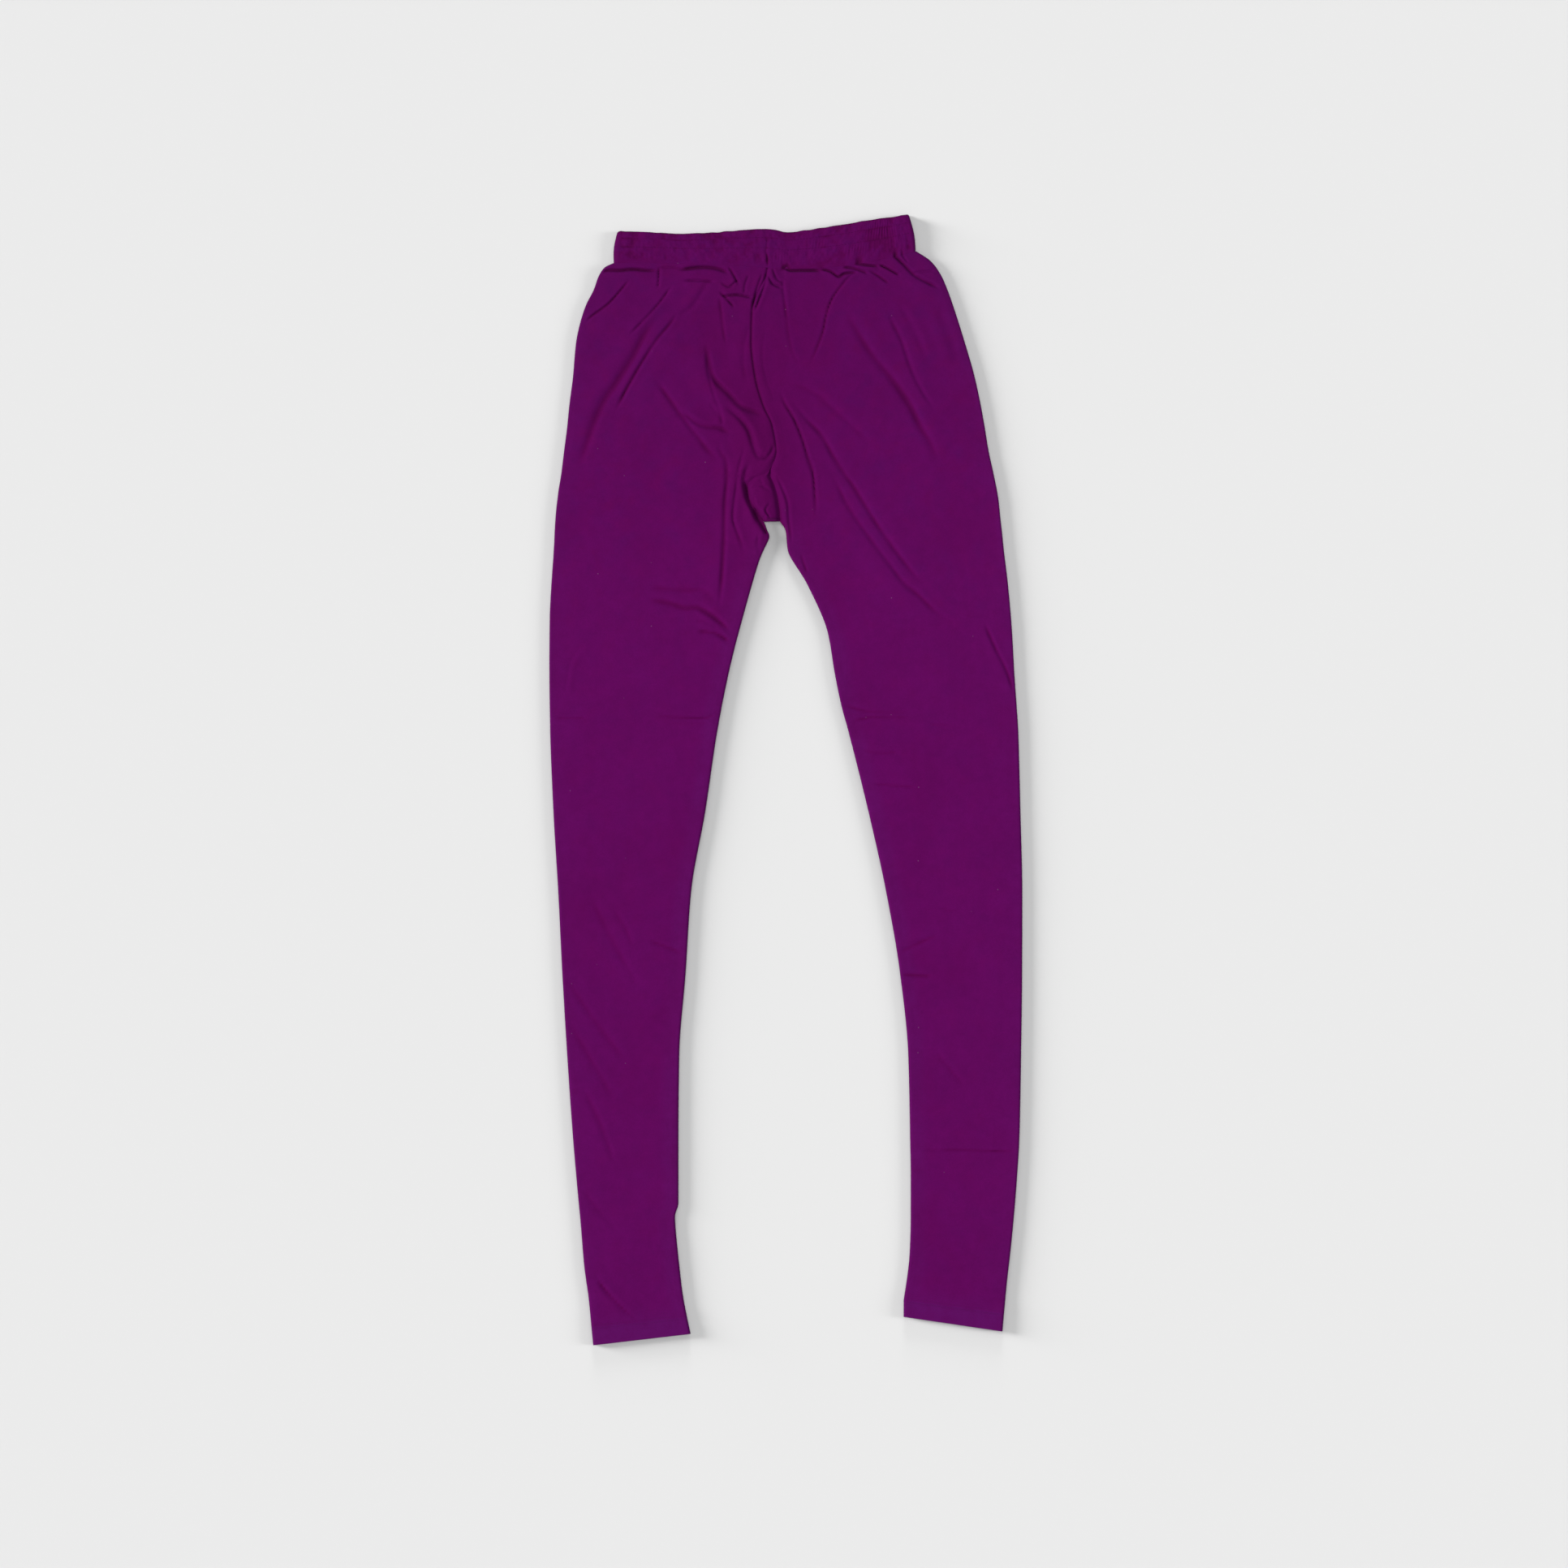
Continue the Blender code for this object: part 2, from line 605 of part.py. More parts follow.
def cloth_material(name):
    """Plum knit cloth, dull all over."""
    material = bpy.data.materials.new(name)
    material.use_nodes = True
    shader = material.node_tree.nodes["Principled BSDF"]
    shader.inputs["Base Color"].default_value = CLOTH_COLOUR
    shader.inputs["Roughness"].default_value = CLOTH_ROUGHNESS
    shader.inputs["Metallic"].default_value = 0.0
    material.diffuse_color = CLOTH_COLOUR
    return material


def grid_object(name, points, collection, closed=False, flipped=False):
    """A smooth mesh object over a grid of points, in its own cloth material."""
    rows, columns = points.shape[:2]
    mesh = bpy.data.meshes.new(name)
    flat_points = [tuple(map(float, point)) for point in points.reshape(-1, 3)]
    mesh.from_pydata(flat_points, [], grid_faces(rows, columns, closed, flipped))
    mesh.update()
    mesh.shade_smooth()
    mesh.set_sharp_from_angle(angle=math.radians(50))
    mesh.materials.append(cloth_material(f"{name}_cloth"))
    obj = bpy.data.objects.new(name, mesh)
    collection.objects.link(obj)
    return obj


def add_wall(obj, doubled):
    """Gives an open sheet its cloth thickness, with the listed points in doubled cloth."""
    wall = obj.modifiers.new("wall", "SOLIDIFY")
    wall.offset = -1.0
    wall.use_even_offset = True
    wall.use_quality_normals = True
    wall.use_rim = True
    wall.thickness = HEM_CLOTH
    group = obj.vertex_groups.new(name="doubled_cloth")
    group.add(doubled, 1.0, "REPLACE")
    wall.vertex_group = group.name
    wall.thickness_vertex_group = CLOTH / HEM_CLOTH


def make_leg(name, leg, side, collection):
    """A leg panel with its turned-up hem."""
    points, hem_distance = leg_panel_points(leg, side)
    obj = grid_object(name, points, collection, flipped=side < 0)
    columns = points.shape[1]
    hem_rows = int((hem_distance < HEM_DEPTH).sum())
    add_wall(obj, list(range(hem_rows * columns)))


def make_gusset(collection):
    """The crotch gusset, folded over its foot."""
    obj = grid_object("gusset", gusset_points(), collection, flipped=True)
    add_wall(obj, [])


def make_waistband(collection):
    """The gathered casing with the elastic in it, one closed ring laid flat."""
    grid_object("waistband", band_points(), collection, closed=True, flipped=True)


def clear_scene():
    """Removes everything that the scene holds."""
    for obj in list(bpy.data.objects):
        bpy.data.objects.remove(obj, do_unlink=True)


def main():
    """Builds the four pieces in a collection of their own."""
    clear_scene()
    collection = bpy.data.collections.new("ChuridarPants")
    bpy.context.scene.collection.children.link(collection)
    make_leg("leg_right", RIGHT_LEG, -1, collection)
    make_leg("leg_left", LEFT_LEG, 1, collection)
    make_gusset(collection)
    make_waistband(collection)


main()
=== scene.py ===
"""Churidar pants laid flat: fine knit shells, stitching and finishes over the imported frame.

Metres, +Z up, the waist along +Y and the front facing +Z. The tables are in millimetres. Right
and left are the wearer's, so the right leg lies towards -X.
"""

from __future__ import annotations

import logging
import math
from dataclasses import dataclass
from enum import Enum
from typing import NamedTuple

import bpy
import numpy as np
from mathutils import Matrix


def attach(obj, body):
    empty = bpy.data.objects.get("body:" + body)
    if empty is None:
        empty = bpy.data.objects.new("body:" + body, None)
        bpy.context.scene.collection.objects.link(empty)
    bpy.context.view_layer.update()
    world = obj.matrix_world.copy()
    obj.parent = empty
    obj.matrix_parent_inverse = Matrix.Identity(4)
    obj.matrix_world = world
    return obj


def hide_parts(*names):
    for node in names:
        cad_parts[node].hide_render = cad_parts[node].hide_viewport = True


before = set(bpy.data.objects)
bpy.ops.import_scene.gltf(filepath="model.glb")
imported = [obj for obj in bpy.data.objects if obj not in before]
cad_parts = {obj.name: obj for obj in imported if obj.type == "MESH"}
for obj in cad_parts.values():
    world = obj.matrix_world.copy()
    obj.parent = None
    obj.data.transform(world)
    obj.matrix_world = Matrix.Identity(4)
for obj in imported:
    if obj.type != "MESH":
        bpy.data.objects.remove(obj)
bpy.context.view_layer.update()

LOG = logging.getLogger("churidar")
MM = 0.001
BODY = "root"
SHARP_FROM = math.radians(62)
TINY = 1e-9
EDGE_TONE = "edge_tone"
# Vertex attribute of painted shade in the creases' valleys and round the crotch
PAINTED_SHADE_ATTRIBUTE = "fold_tone"

Array = np.ndarray
Colour = tuple[float, float, float]


class Side(Enum):
    """Which of the wearer's legs a panel covers."""

    RIGHT = -1
    LEFT = 1


class Slot(Enum):
    """Material slots of the record."""

    PANEL = "panel_knit"
    WAISTBAND = "waistband_knit"


class LegSection(NamedTuple):
    """A cut across one leg below the crotch, in millimetres."""

    outer_x: float
    outer_y: float
    inner_x: float
    inner_y: float


class BodySection(NamedTuple):
    """A cut across both panels above the crotch, in millimetres."""

    right_x: float
    right_y: float
    right_edge_x: float
    right_edge_y: float
    left_edge_x: float
    left_edge_y: float
    left_x: float
    left_y: float
    right_bow: float
    left_bow: float


class BandSection(NamedTuple):
    """A cut up the waistband, in millimetres. Its foot stands on the waist seam."""

    top_x: float
    top_y: float
    foot_x: float


class Crease(NamedTuple):
    """A valley in a layer with a soft bank beside it, in millimetres.

    The bank lies on the left of the way along the path where reach is positive.
    """

    path: tuple[tuple[float, float], ...]
    depth: float
    width: float
    bank: float = 0.0
    reach: float = 10.0


class Puff(NamedTuple):
    """A soft hump in the front layer, in millimetres."""

    x: float
    y: float
    reach_x: float
    reach_y: float
    rise: float


class RowZone(NamedTuple):
    """A stretch of the garment's length and the spacing of mesh rows in it, in millimetres."""

    low_y: float
    high_y: float
    spacing: float


class GatherPatch(NamedTuple):
    """A stretch of the waistband where the gathers stand out, by X in mm and share of height."""

    x: float
    share: float
    reach_x: float
    reach_share: float
    strength: float


# Right leg from its hem to the crotch
RIGHT_LEG = (
    LegSection(-190.0, -556.4, -94.0, -545.2),
    LegSection(-191.6, -540.2, -97.2, -530.2),
    LegSection(-192.0, -536.2, -98.0, -526.2),
    LegSection(-194.4, -511.0, -101.6, -507.0),
    LegSection(-198.8, -479.0, -105.2, -477.0),
    LegSection(-202.8, -431.0, -109.4, -431.0),
    LegSection(-204.4, -415.0, -106.0, -415.0),
    LegSection(-210.0, -351.0, -106.0, -351.0),
    LegSection(-215.6, -271.0, -105.2, -271.0),
    LegSection(-220.4, -191.0, -99.0, -191.0),
    LegSection(-224.4, -111.0, -93.6, -111.0),
    LegSection(-229.2, -31.0, -79.6, -31.0),
    LegSection(-232.4, 49.0, -67.6, 49.0),
    LegSection(-233.2, 113.0, -54.8, 113.0),
    LegSection(-232.8, 161.0, -42.4, 161.0),
    LegSection(-229.4, 219.0, -25.4, 219.0),
    LegSection(-228.4, 236.0, -16.4, 240.0),
    LegSection(-228.0, 245.5, -18.6, 246.6),
)

# Left leg from its hem to the crotch
LEFT_LEG = (
    LegSection(213.2, -542.8, 115.8, -528.4),
    LegSection(214.6, -526.6, 115.8, -513.4),
    LegSection(215.0, -522.6, 116.2, -509.4),
    LegSection(217.6, -495.0, 119.2, -490.0),
    LegSection(220.8, -467.0, 121.8, -465.0),
    LegSection(224.4, -431.0, 122.8, -431.0),
    LegSection(227.6, -391.0, 122.8, -391.0),
    LegSection(230.0, -351.0, 122.2, -351.0),
    LegSection(231.6, -271.0, 120.4, -271.0),
    LegSection(232.6, -191.0, 112.4, -191.0),
    LegSection(232.8, -111.0, 98.8, -111.0),
    LegSection(231.0, -31.0, 81.2, -31.0),
    LegSection(228.8, 49.0, 61.2, 49.0),
    LegSection(227.2, 74.0, 54.4, 74.0),
    LegSection(225.0, 105.0, 48.0, 105.0),
    LegSection(222.8, 145.0, 41.2, 145.0),
    LegSection(219.0, 190.0, 21.4, 192.0),
    LegSection(214.6, 227.0, 1.6, 227.0),
    LegSection(213.0, 243.0, -0.6, 246.0),
)

# Across the gusset, from its folded foot to its point
GUSSET_BODY = (
    BodySection(-227.4, 255.2, -21.6, 254.6, -6.1, 255.0, 211.6, 255.2, 0, 0),
    BodySection(-226.8, 263.0, -27.4, 262.4, -6.2, 263.0, 210.8, 263.0, 0, 0),
    BodySection(-226.0, 271.0, -33.0, 270.8, -7.2, 271.0, 210.0, 271.0, 0, 0),
    BodySection(-225.0, 279.0, -37.6, 279.8, -8.4, 279.0, 209.0, 279.0, 0, 0),
    BodySection(-224.0, 287.0, -38.6, 289.0, -10.4, 287.0, 207.6, 287.0, 0, 0),
    BodySection(-222.6, 295.0, -32.4, 297.4, -13.0, 294.0, 206.0, 295.0, 0, 0),
    BodySection(-221.4, 302.5, -20.8, 302.4, -15.4, 299.6, 204.4, 302.5, 0, 0),
)

# Across the centre front seam, from the gusset's point to the waist seam
SEAM_BODY = (
    BodySection(-220.6, 309.0, -15.6, 306.4, -15.6, 306.4, 203.0, 309.0, 0, 0),
    BodySection(-218.8, 323.6, -9.4, 323.6, -9.4, 323.6, 199.8, 323.6, 0, 0),
    BodySection(-215.6, 349.0, -13.2, 349.0, -13.2, 349.0, 195.6, 349.0, 0, 0),
    BodySection(-213.6, 369.0, -22.0, 369.0, -22.0, 369.0, 192.0, 369.0, 0, 0),
    BodySection(-210.0, 397.0, -30.0, 397.0, -30.0, 397.0, 186.0, 397.0, 0, 0),
    BodySection(-206.8, 432.0, -34.0, 432.0, -34.0, 432.0, 176.0, 432.0, 0, 0),
    BodySection(-198.0, 466.0, -33.0, 466.0, -33.0, 466.0, 165.2, 466.0, 0, 0),
    BodySection(-189.6, 483.0, -26.4, 483.0, -26.4, 483.0, 158.8, 484.0, 0, -1.0),
    BodySection(-184.4, 497.0, -20.8, 494.0, -20.8, 494.0, 152.0, 499.0, 0.6, -3.0),
    BodySection(-178.4, 505.4, -18.8, 500.6, -18.8, 500.6, 142.6, 511.4, 1.2, -5.0),
    BodySection(-170.6, 509.2, -18.0, 504.6, -18.0, 504.6, 128.6, 521.0, 1.5, -6.5),
)

BAND = (
    BandSection(-166.4, 540.2, -169.6),
    BandSection(-99.0, 537.6, -95.0),
    BandSection(-19.0, 542.0, -18.0),
    BandSection(3.0, 538.8, 2.0),
    BandSection(49.0, 545.2, 44.0),
    BandSection(90.0, 551.6, 88.0),
    BandSection(121.4, 556.4, 127.6),
)

RIGHT_PANEL_CREASES = (
    # Fanning from the waist to the outer fold
    Crease(((-152, 494), (-157, 489), (-174, 470), (-190, 458), (-199, 450)), 2.4, 1.2, 1.0, 20),
    Crease(((-110, 487), (-116, 482), (-123, 472), (-137, 456), (-156, 437)), 2.2, 1.2, 0.6, 12),
    Crease(
        ((-106, 463), (-112, 452), (-126, 435), (-142, 411), (-157, 385), (-170, 360)), 2.6, 1.5, 2.0, 30
    ),
    Crease(
        ((-116, 462), (-135, 446), (-150, 418), (-166, 393), (-184, 364), (-206, 303)), 1.9, 3.9, 1.2, -24
    ),
    Crease(((-72, 496), (-78, 488), (-91, 468), (-103, 459), (-110, 455)), 0.8, 2.6, 1.0, -12),
    # Drawn in towards the crotch
    Crease(((-130, 396), (-115, 376), (-103, 359), (-88, 340), (-76, 324), (-64, 314)), 1.6, 2.5, 1.4, 24),
    Crease(((-104, 364), (-88, 352), (-76, 348), (-66, 347), (-53, 341)), 2.3, 2.3, 0.8, 11),
    Crease(
        ((-80, 432), (-75, 408), (-70, 394), (-56, 380), (-44, 368), (-31, 363), (-17, 358)), 2.6, 2.5,
        2.2, -24
    ),
    Crease(((-78, 424), (-77, 404), (-71, 380), (-64, 360), (-62, 340)), 1.0, 1.5),
    Crease(
        ((-62, 370), (-57, 366), (-46, 357), (-37, 345), (-32, 330), (-27, 319), (-17, 316)), 3.4, 2.5,
        1.3, 12
    ),
    Crease(((-26, 319), (-18, 318), (-11, 330)), 2.4, 1.7),
    Crease(
        ((-68, 340), (-64, 323), (-59, 315), (-58, 296), (-60, 273), (-61, 237), (-63, 201), (-66, 166)),
        2.1, 2.1, 0.3, 11
    ),
    Crease(
        ((-41, 330), (-42, 323), (-46, 308), (-49, 286), (-52, 259), (-48, 245), (-39, 220)), 1.9, 1.5,
        0.8, 9
    ),
    Crease(
        ((-33, 312), (-38, 307), (-41, 297), (-39, 287), (-36, 274), (-31, 264), (-26, 251)), 2.6, 2.6,
        0.9, -9
    ),
    Crease(((-27, 243), (-28, 232), (-25, 220)), 1.1, 1.3),
    Crease(((-31, 268), (-27, 258), (-21, 249), (-15, 241)), 5.0, 3.2),
    Crease(((-66, 480), (-65, 472), (-62, 446), (-59, 428)), 0.9, 1.5, 0.3, 8),
    Crease(((-36, 452), (-42, 420), (-40, 392)), 0.6, 2.4, 0.5, -14),
    Crease(((-76, 372), (-66, 360), (-60, 350)), 0.7, 2.4, 0.3, 8),
    # Inner thigh and knee
    Crease(((-138, 178), (-116, 175), (-100, 170), (-86, 170), (-74, 163), (-56, 148)), 2.0, 3.0, 0.6, 15),
    Crease(((-88, 169), (-76, 164), (-64, 155), (-54, 146)), 1.5, 1.6),
    Crease(((-136, 190), (-101, 187), (-82, 187), (-67, 174)), 1.2, 3.2, 0.3, 11),
    Crease(((-88, 147), (-70, 145), (-55, 136)), 2.2, 1.8, 0.5, 9),
    Crease(((-90, 158), (-78, 156), (-66, 150)), 1.2, 1.6, 0.2, 8),
    Crease(((-128, 63), (-99, 62), (-79, 62), (-67, 65)), 1.6, 1.4, 0.2, 8),
    Crease(((-118, 56), (-98, 57), (-72, 56)), 0.9, 1.5),
    Crease(((-228, 61), (-212, 61), (-196, 62)), 1.0, 1.3),
    Crease(((-195, 138), (-212, 116), (-218, 80)), 0.3, 2.0, 0.6, 9),
    # Lower leg
    Crease(((-194, -112), (-168, -163), (-142, -208)), 0.65, 3.0),
    Crease(((-216, -196), (-186, -240), (-156, -279)), 0.8, 2.8),
    Crease(((-214, -238), (-194, -272), (-168, -316)), 0.7, 2.8),
    Crease(((-201, -300), (-183, -338), (-168, -380)), 0.75, 2.9),
    Crease(((-200, -404), (-182, -426), (-164, -446)), 0.65, 2.8),
    Crease(((-136, -157), (-118, -164), (-103, -170)), 1.3, 1.8, 0.2, 8),
    Crease(((-170, -128), (-158, -146), (-150, -166)), 0.8, 2.2, 0.2, 10),
    Crease(((-189, -489), (-167, -514), (-143, -535)), 2.3, 1.5, 0.5, 11),
)

LEFT_PANEL_CREASES = (
    # From the crotch towards the outer fold
    Crease(
        ((-7, 386), (-1, 371), (8, 356), (16, 337), (22, 317), (27, 301), (29, 276), (30, 256)), 2.0, 1.5,
        0.9, 20
    ),
    Crease(
        (
            (2, 380), (8, 371), (22, 354), (35, 340), (47, 319), (59, 300), (67, 289), (92, 249),
            (122, 208), (142, 187)
        ),
        1.9, 2.4, 1.2, 24
    ),
    Crease(
        (
            (41, 309), (50, 292), (63, 267), (84, 237), (100, 216), (116, 195), (131, 182), (148, 166),
            (168, 155)
        ),
        1.4, 2.3, 1.0, -26
    ),
    Crease(((-4, 395), (29, 381), (45, 367), (61, 353), (86, 329)), 0.8, 3.2, 0.7, 16),
    Crease(((-12, 303), (-9, 299), (-2, 284), (2, 272), (3, 257), (6, 231)), 1.5, 1.6, 0.7, -6),
    Crease(((16, 224), (16, 219), (21, 204)), 0.9, 1.3),
    # Fanning from the waist
    Crease(
        (
            (58, 464), (67, 448), (83, 422), (100, 401), (112, 385), (123, 368), (133, 348), (143, 331),
            (153, 306)
        ),
        2.0, 3.8, 1.2, 26
    ),
    Crease(
        ((100, 464), (105, 451), (114, 433), (121, 412), (129, 393), (137, 379), (149, 362)), 1.4, 1.9,
        1.0, 20
    ),
    Crease(
        ((72, 504), (68, 500), (58, 491), (46, 475), (40, 459), (37, 444), (33, 432), (23, 408)), 1.7,
        1.1, 0.3, 13
    ),
    Crease(((-20, 450), (-23, 420), (-20, 398), (-9, 366)), 0.3, 1.2, 0.8, -9),
    Crease(((-3, 494), (-3, 488), (-1, 470), (1, 452)), 1.5, 1.4, 0.3, 8),
    Crease(((0, 460), (3, 436), (8, 418), (14, 408)), 0.6, 1.6),
    Crease(((148, 470), (160, 440), (170, 405)), 0.7, 5.0, 0.9, -18),
    Crease(((112, 470), (128, 440), (140, 412)), 0.6, 3.4, 0.6, 12),
    # Outer thigh, knee and lower leg
    Crease(((194, 158), (207, 129), (216, 111), (228, 80)), 1.8, 1.7, 0.6, -12),
    Crease(((56, 74), (76, 69), (92, 67), (120, 67)), 1.1, 1.6, 0.2, 8),
    Crease(((64, 58), (84, 62), (100, 62), (124, 62)), 1.1, 1.4, 0.1, -7),
    Crease(((74, 30), (92, 27), (112, 28)), 1.0, 1.8, 0.2, 8),
    Crease(((84, -3), (106, -5), (130, -7)), 1.3, 1.7, 0.2, 8),
    Crease(((140, 55), (158, 54), (176, 53)), 0.9, 1.7, 0.2, 7),
    Crease(((109, -171), (131, -160), (151, -152)), 1.1, 2.0, 0.2, 9),
    Crease(((110, -191), (128, -192), (145, -193)), 1.3, 1.8, 0.2, 8),
    Crease(((148, -123), (162, -128), (178, -127)), 0.7, 2.0, 0.2, 8),
    Crease(((146, -266), (161, -284), (177, -302)), 1.0, 2.1, 0.2, 9),
    Crease(((122, -364), (150, -364), (177, -364), (205, -365), (231, -365)), 1.2, 1.3, 0.2, 8),
    Crease(((120, -382), (132, -384), (146, -383)), 0.7, 1.8),
)

WAIST_CREASES = (
    # Right of the centre front
    Crease(
        ((-187, 499), (-176, 502), (-163, 502), (-150, 503), (-137, 502), (-122, 502)), 3.5, 1.6, 1.0, -12
    ),
    Crease(((-126, 504), (-112, 505), (-99, 503)), 1.5, 1.7),
    Crease(((-125, 506), (-125, 502), (-125, 495), (-126, 484)), 2.0, 1.2, 0.2, 9),
    Crease(((-106, 502), (-94, 504), (-82, 505), (-69, 504), (-60, 501), (-54, 498)), 4.0, 1.8, 0.8, -13),
    Crease(((-57, 506), (-54, 502), (-50, 495), (-46, 487)), 2.4, 1.3, 0.4, -9),
    Crease(((-46, 493), (-50, 490), (-55, 486), (-59, 487), (-65, 491)), 2.0, 1.2),
    Crease(((-102, 492), (-98, 492), (-85, 492), (-73, 491), (-69, 491)), 2.0, 1.3, 0.4, -8),
    Crease(((-66, 482), (-64, 480), (-58, 474), (-50, 465)), 2.2, 1.2, 0.3, 8),
    Crease(((-64, 477), (-59, 477), (-48, 478), (-37, 476), (-31, 475)), 3.0, 1.3, 0.4, -9),
    Crease(((-17, 503), (-19, 497), (-21, 487), (-28, 469), (-32, 460)), 2.1, 1.3, 0.5, 7),
    Crease(((-23, 500), (-24, 496), (-29, 482), (-32, 469), (-33, 463)), 1.7, 1.2, 0.5, -7),
    Crease(((-36, 498), (-40, 488), (-41, 478)), 1.6, 1.3, 0.2, -7),
    # Left of the centre front
    Crease(((-18, 499), (-16, 494), (-13, 489), (-7, 486), (-3, 485)), 2.8, 1.4, 0.5, 6),
    Crease(((-13, 505), (-11, 498), (-7, 492), (0, 490)), 1.5, 1.2),
    Crease(((-7, 501), (-1, 504), (5, 502), (16, 502), (28, 502), (36, 502)), 3.4, 1.5, 0.6, -11),
    Crease(
        ((32, 503), (36, 503), (44, 501), (52, 496), (58, 499), (68, 500), (72, 500)), 3.4, 1.3, 0.4, -9
    ),
    Crease(((55, 505), (60, 505), (67, 504), (76, 501), (82, 498)), 3.2, 1.3, 0.3, -7),
    Crease(((67, 508), (73, 508), (81, 507), (92, 506)), 3.2, 1.2, 0.3, -6),
    Crease(((91, 508), (96, 506), (102, 503), (109, 499), (113, 497)), 3.2, 1.2, 0.4, -8),
    Crease(((81, 502), (86, 500), (92, 496), (102, 489)), 2.3, 1.2, 0.3, -8),
    Crease(((101, 521), (105, 518), (115, 509), (126, 498), (138, 491), (153, 484)), 3.2, 1.7, 1.5, -16),
    Crease(((124, 500), (128, 500), (136, 501), (148, 502)), 1.2, 1.3, 0.3, 6),
    Crease(((112, 523), (116, 515), (121, 508)), 1.0, 1.3, 0.3, -5),
)

# Soft troughs in the back layer, where the table lets it ripple
BACK_CREASES = (
    Crease(((-160, 492), (-170, 460), (-190, 420)), 0.6, 4.0),
    Crease(((-120, 500), (-128, 455), (-150, 405)), 0.7, 5.0),
    Crease(((-75, 500), (-72, 460), (-84, 410)), 0.6, 4.5),
    Crease(((-150, 330), (-110, 310), (-60, 290)), 0.7, 5.0),
    Crease(((-120, 370), (-80, 340), (-45, 305)), 0.6, 5.0),
    Crease(((-140, 230), (-100, 215), (-50, 205)), 0.6, 5.5),
    Crease(((110, 505), (126, 460), (150, 405)), 0.7, 5.0),
    Crease(((55, 500), (66, 455), (90, 400)), 0.6, 4.5),
    Crease(((5, 320), (60, 300), (120, 270)), 0.7, 5.5),
    Crease(((10, 285), (60, 245), (115, 220)), 0.6, 5.0),
    Crease(((-215, 70), (-150, 62), (-85, 64)), 0.5, 4.0),
    Crease(((-210, 20), (-160, 12), (-100, 18)), 0.5, 5.0),
    Crease(((80, 66), (150, 62), (215, 60)), 0.5, 4.0),
    Crease(((95, 20), (150, 8), (215, 14)), 0.5, 5.0),
    Crease(((-200, -180), (-160, -230), (-125, -250)), 0.5, 5.0),
    Crease(((130, -364), (175, -366), (222, -365)), 0.5, 3.5),
    Crease(((-195, -364), (-160, -366), (-120, -365)), 0.5, 3.5),
)

PUFFS = (
    Puff(-26.0, 292.0, 30.0, 44.0, 2.8),
    Puff(-24.0, 280.0, 11.0, 20.0, 1.8),
    Puff(-14.0, 262.0, 9.0, 10.0, 1.0),
    Puff(-14.0, 486.0, 24.0, 16.0, 1.6),
    Puff(-14.0, 499.0, 5.0, 5.0, 1.2),
    Puff(-27.0, 494.0, 5.0, 8.0, 0.8),
    Puff(-62.0, 488.0, 34.0, 14.0, 1.2),
    Puff(82.0, 497.0, 7.0, 6.0, 0.7),
    Puff(-110.0, 481.0, 5.0, 5.0, 0.6),
    Puff(-20.0, 340.0, 9.0, 14.0, 1.3),
    Puff(-20.0, 322.0, 8.0, 6.0, 0.8),
    Puff(150.0, 468.0, 30.0, 60.0, 0.8),
)

ROW_ZONES = (
    RowZone(-388.0, -376.0, 2.0),
    RowZone(-372.0, -357.0, 1.4),
    RowZone(-198.0, -186.0, 1.8),
    RowZone(-178.0, -146.0, 2.2),
    RowZone(-133.0, -118.0, 2.2),
    RowZone(-12.0, 2.0, 1.8),
    RowZone(20.0, 38.0, 1.8),
    RowZone(54.0, 90.0, 1.8),
    RowZone(90.0, 200.0, 1.9),
    RowZone(200.0, 455.0, 1.45),
    RowZone(455.0, 530.0, 0.85),
)

GATHER_PATCHES = (
    GatherPatch(91.0, 0.74, 14.0, 0.20, 0.8),
    GatherPatch(68.0, 0.36, 9.0, 0.10, 0.45),
    GatherPatch(-8.0, 0.30, 8.0, 0.16, 0.25),
    GatherPatch(108.0, 0.45, 10.0, 0.2, 0.15),
    GatherPatch(30.0, 0.62, 12.0, 0.1, 0.25),
    GatherPatch(-80.0, 0.60, 20.0, 0.2, 0.15),
)


def smoothstep(share: Array | float) -> Array:
    """Eases from 0 to 1 as the share does, flat at both ends.

    Args:
        share: Any numbers; below 0 counts as 0 and above 1 as 1.

    Returns:
        The eased shares.
    """
    share = np.clip(share, 0.0, 1.0)
    return share * share * (3.0 - 2.0 * share)


def shared_rate(before: Array, after: Array) -> Array:
    """Rate of change at a row between two chords.

    Args:
        before: The chord up to the row.
        after: The chord from the row on.

    Returns:
        Their harmonic mean, or 0 at a turn.
    """
    same_way = before * after > 0
    total = np.where(same_way, before + after, 1.0)
    return np.where(same_way, 2.0 * before * after / total, 0.0)


def eased_at(values: Array, place: float, breaks: tuple[int, ...] = ()) -> Array:
    """Value at a fractional row of a table, on cubics that never pass a row's value.

    Args:
        values: One row of numbers for each cut.
        place: The fractional row.
        breaks: Rows where the curve may turn a corner.

    Returns:
        The eased row.
    """
    chords = np.diff(values, axis=0)
    last = len(chords) - 1
    row = min(int(place), last)
    t = place - row
    chord = chords[row]
    corner_before = row == 0 or row in breaks
    corner_after = row == last or row + 1 in breaks
    leaving = chord if corner_before else shared_rate(chords[row - 1], chord)
    reaching = chord if corner_after else shared_rate(chord, chords[row + 1])
    eased = values[row] + smoothstep(t) * chord
    return eased + t * (1.0 - t) ** 2 * leaving + t * t * (t - 1.0) * reaching


def grid_normals(points: Array) -> Array:
    """Unit normals over a grid of points.

    Args:
        points: Rows by columns by 3.

    Returns:
        Unit vectors of the same shape, the way along a row crossed with the way up a column.
    """
    up_columns = np.gradient(points, axis=0)
    along_rows = np.gradient(points, axis=1)
    normals = np.cross(along_rows, up_columns)
    return normals / np.maximum(np.linalg.norm(normals, axis=-1, keepdims=True), 1e-12)


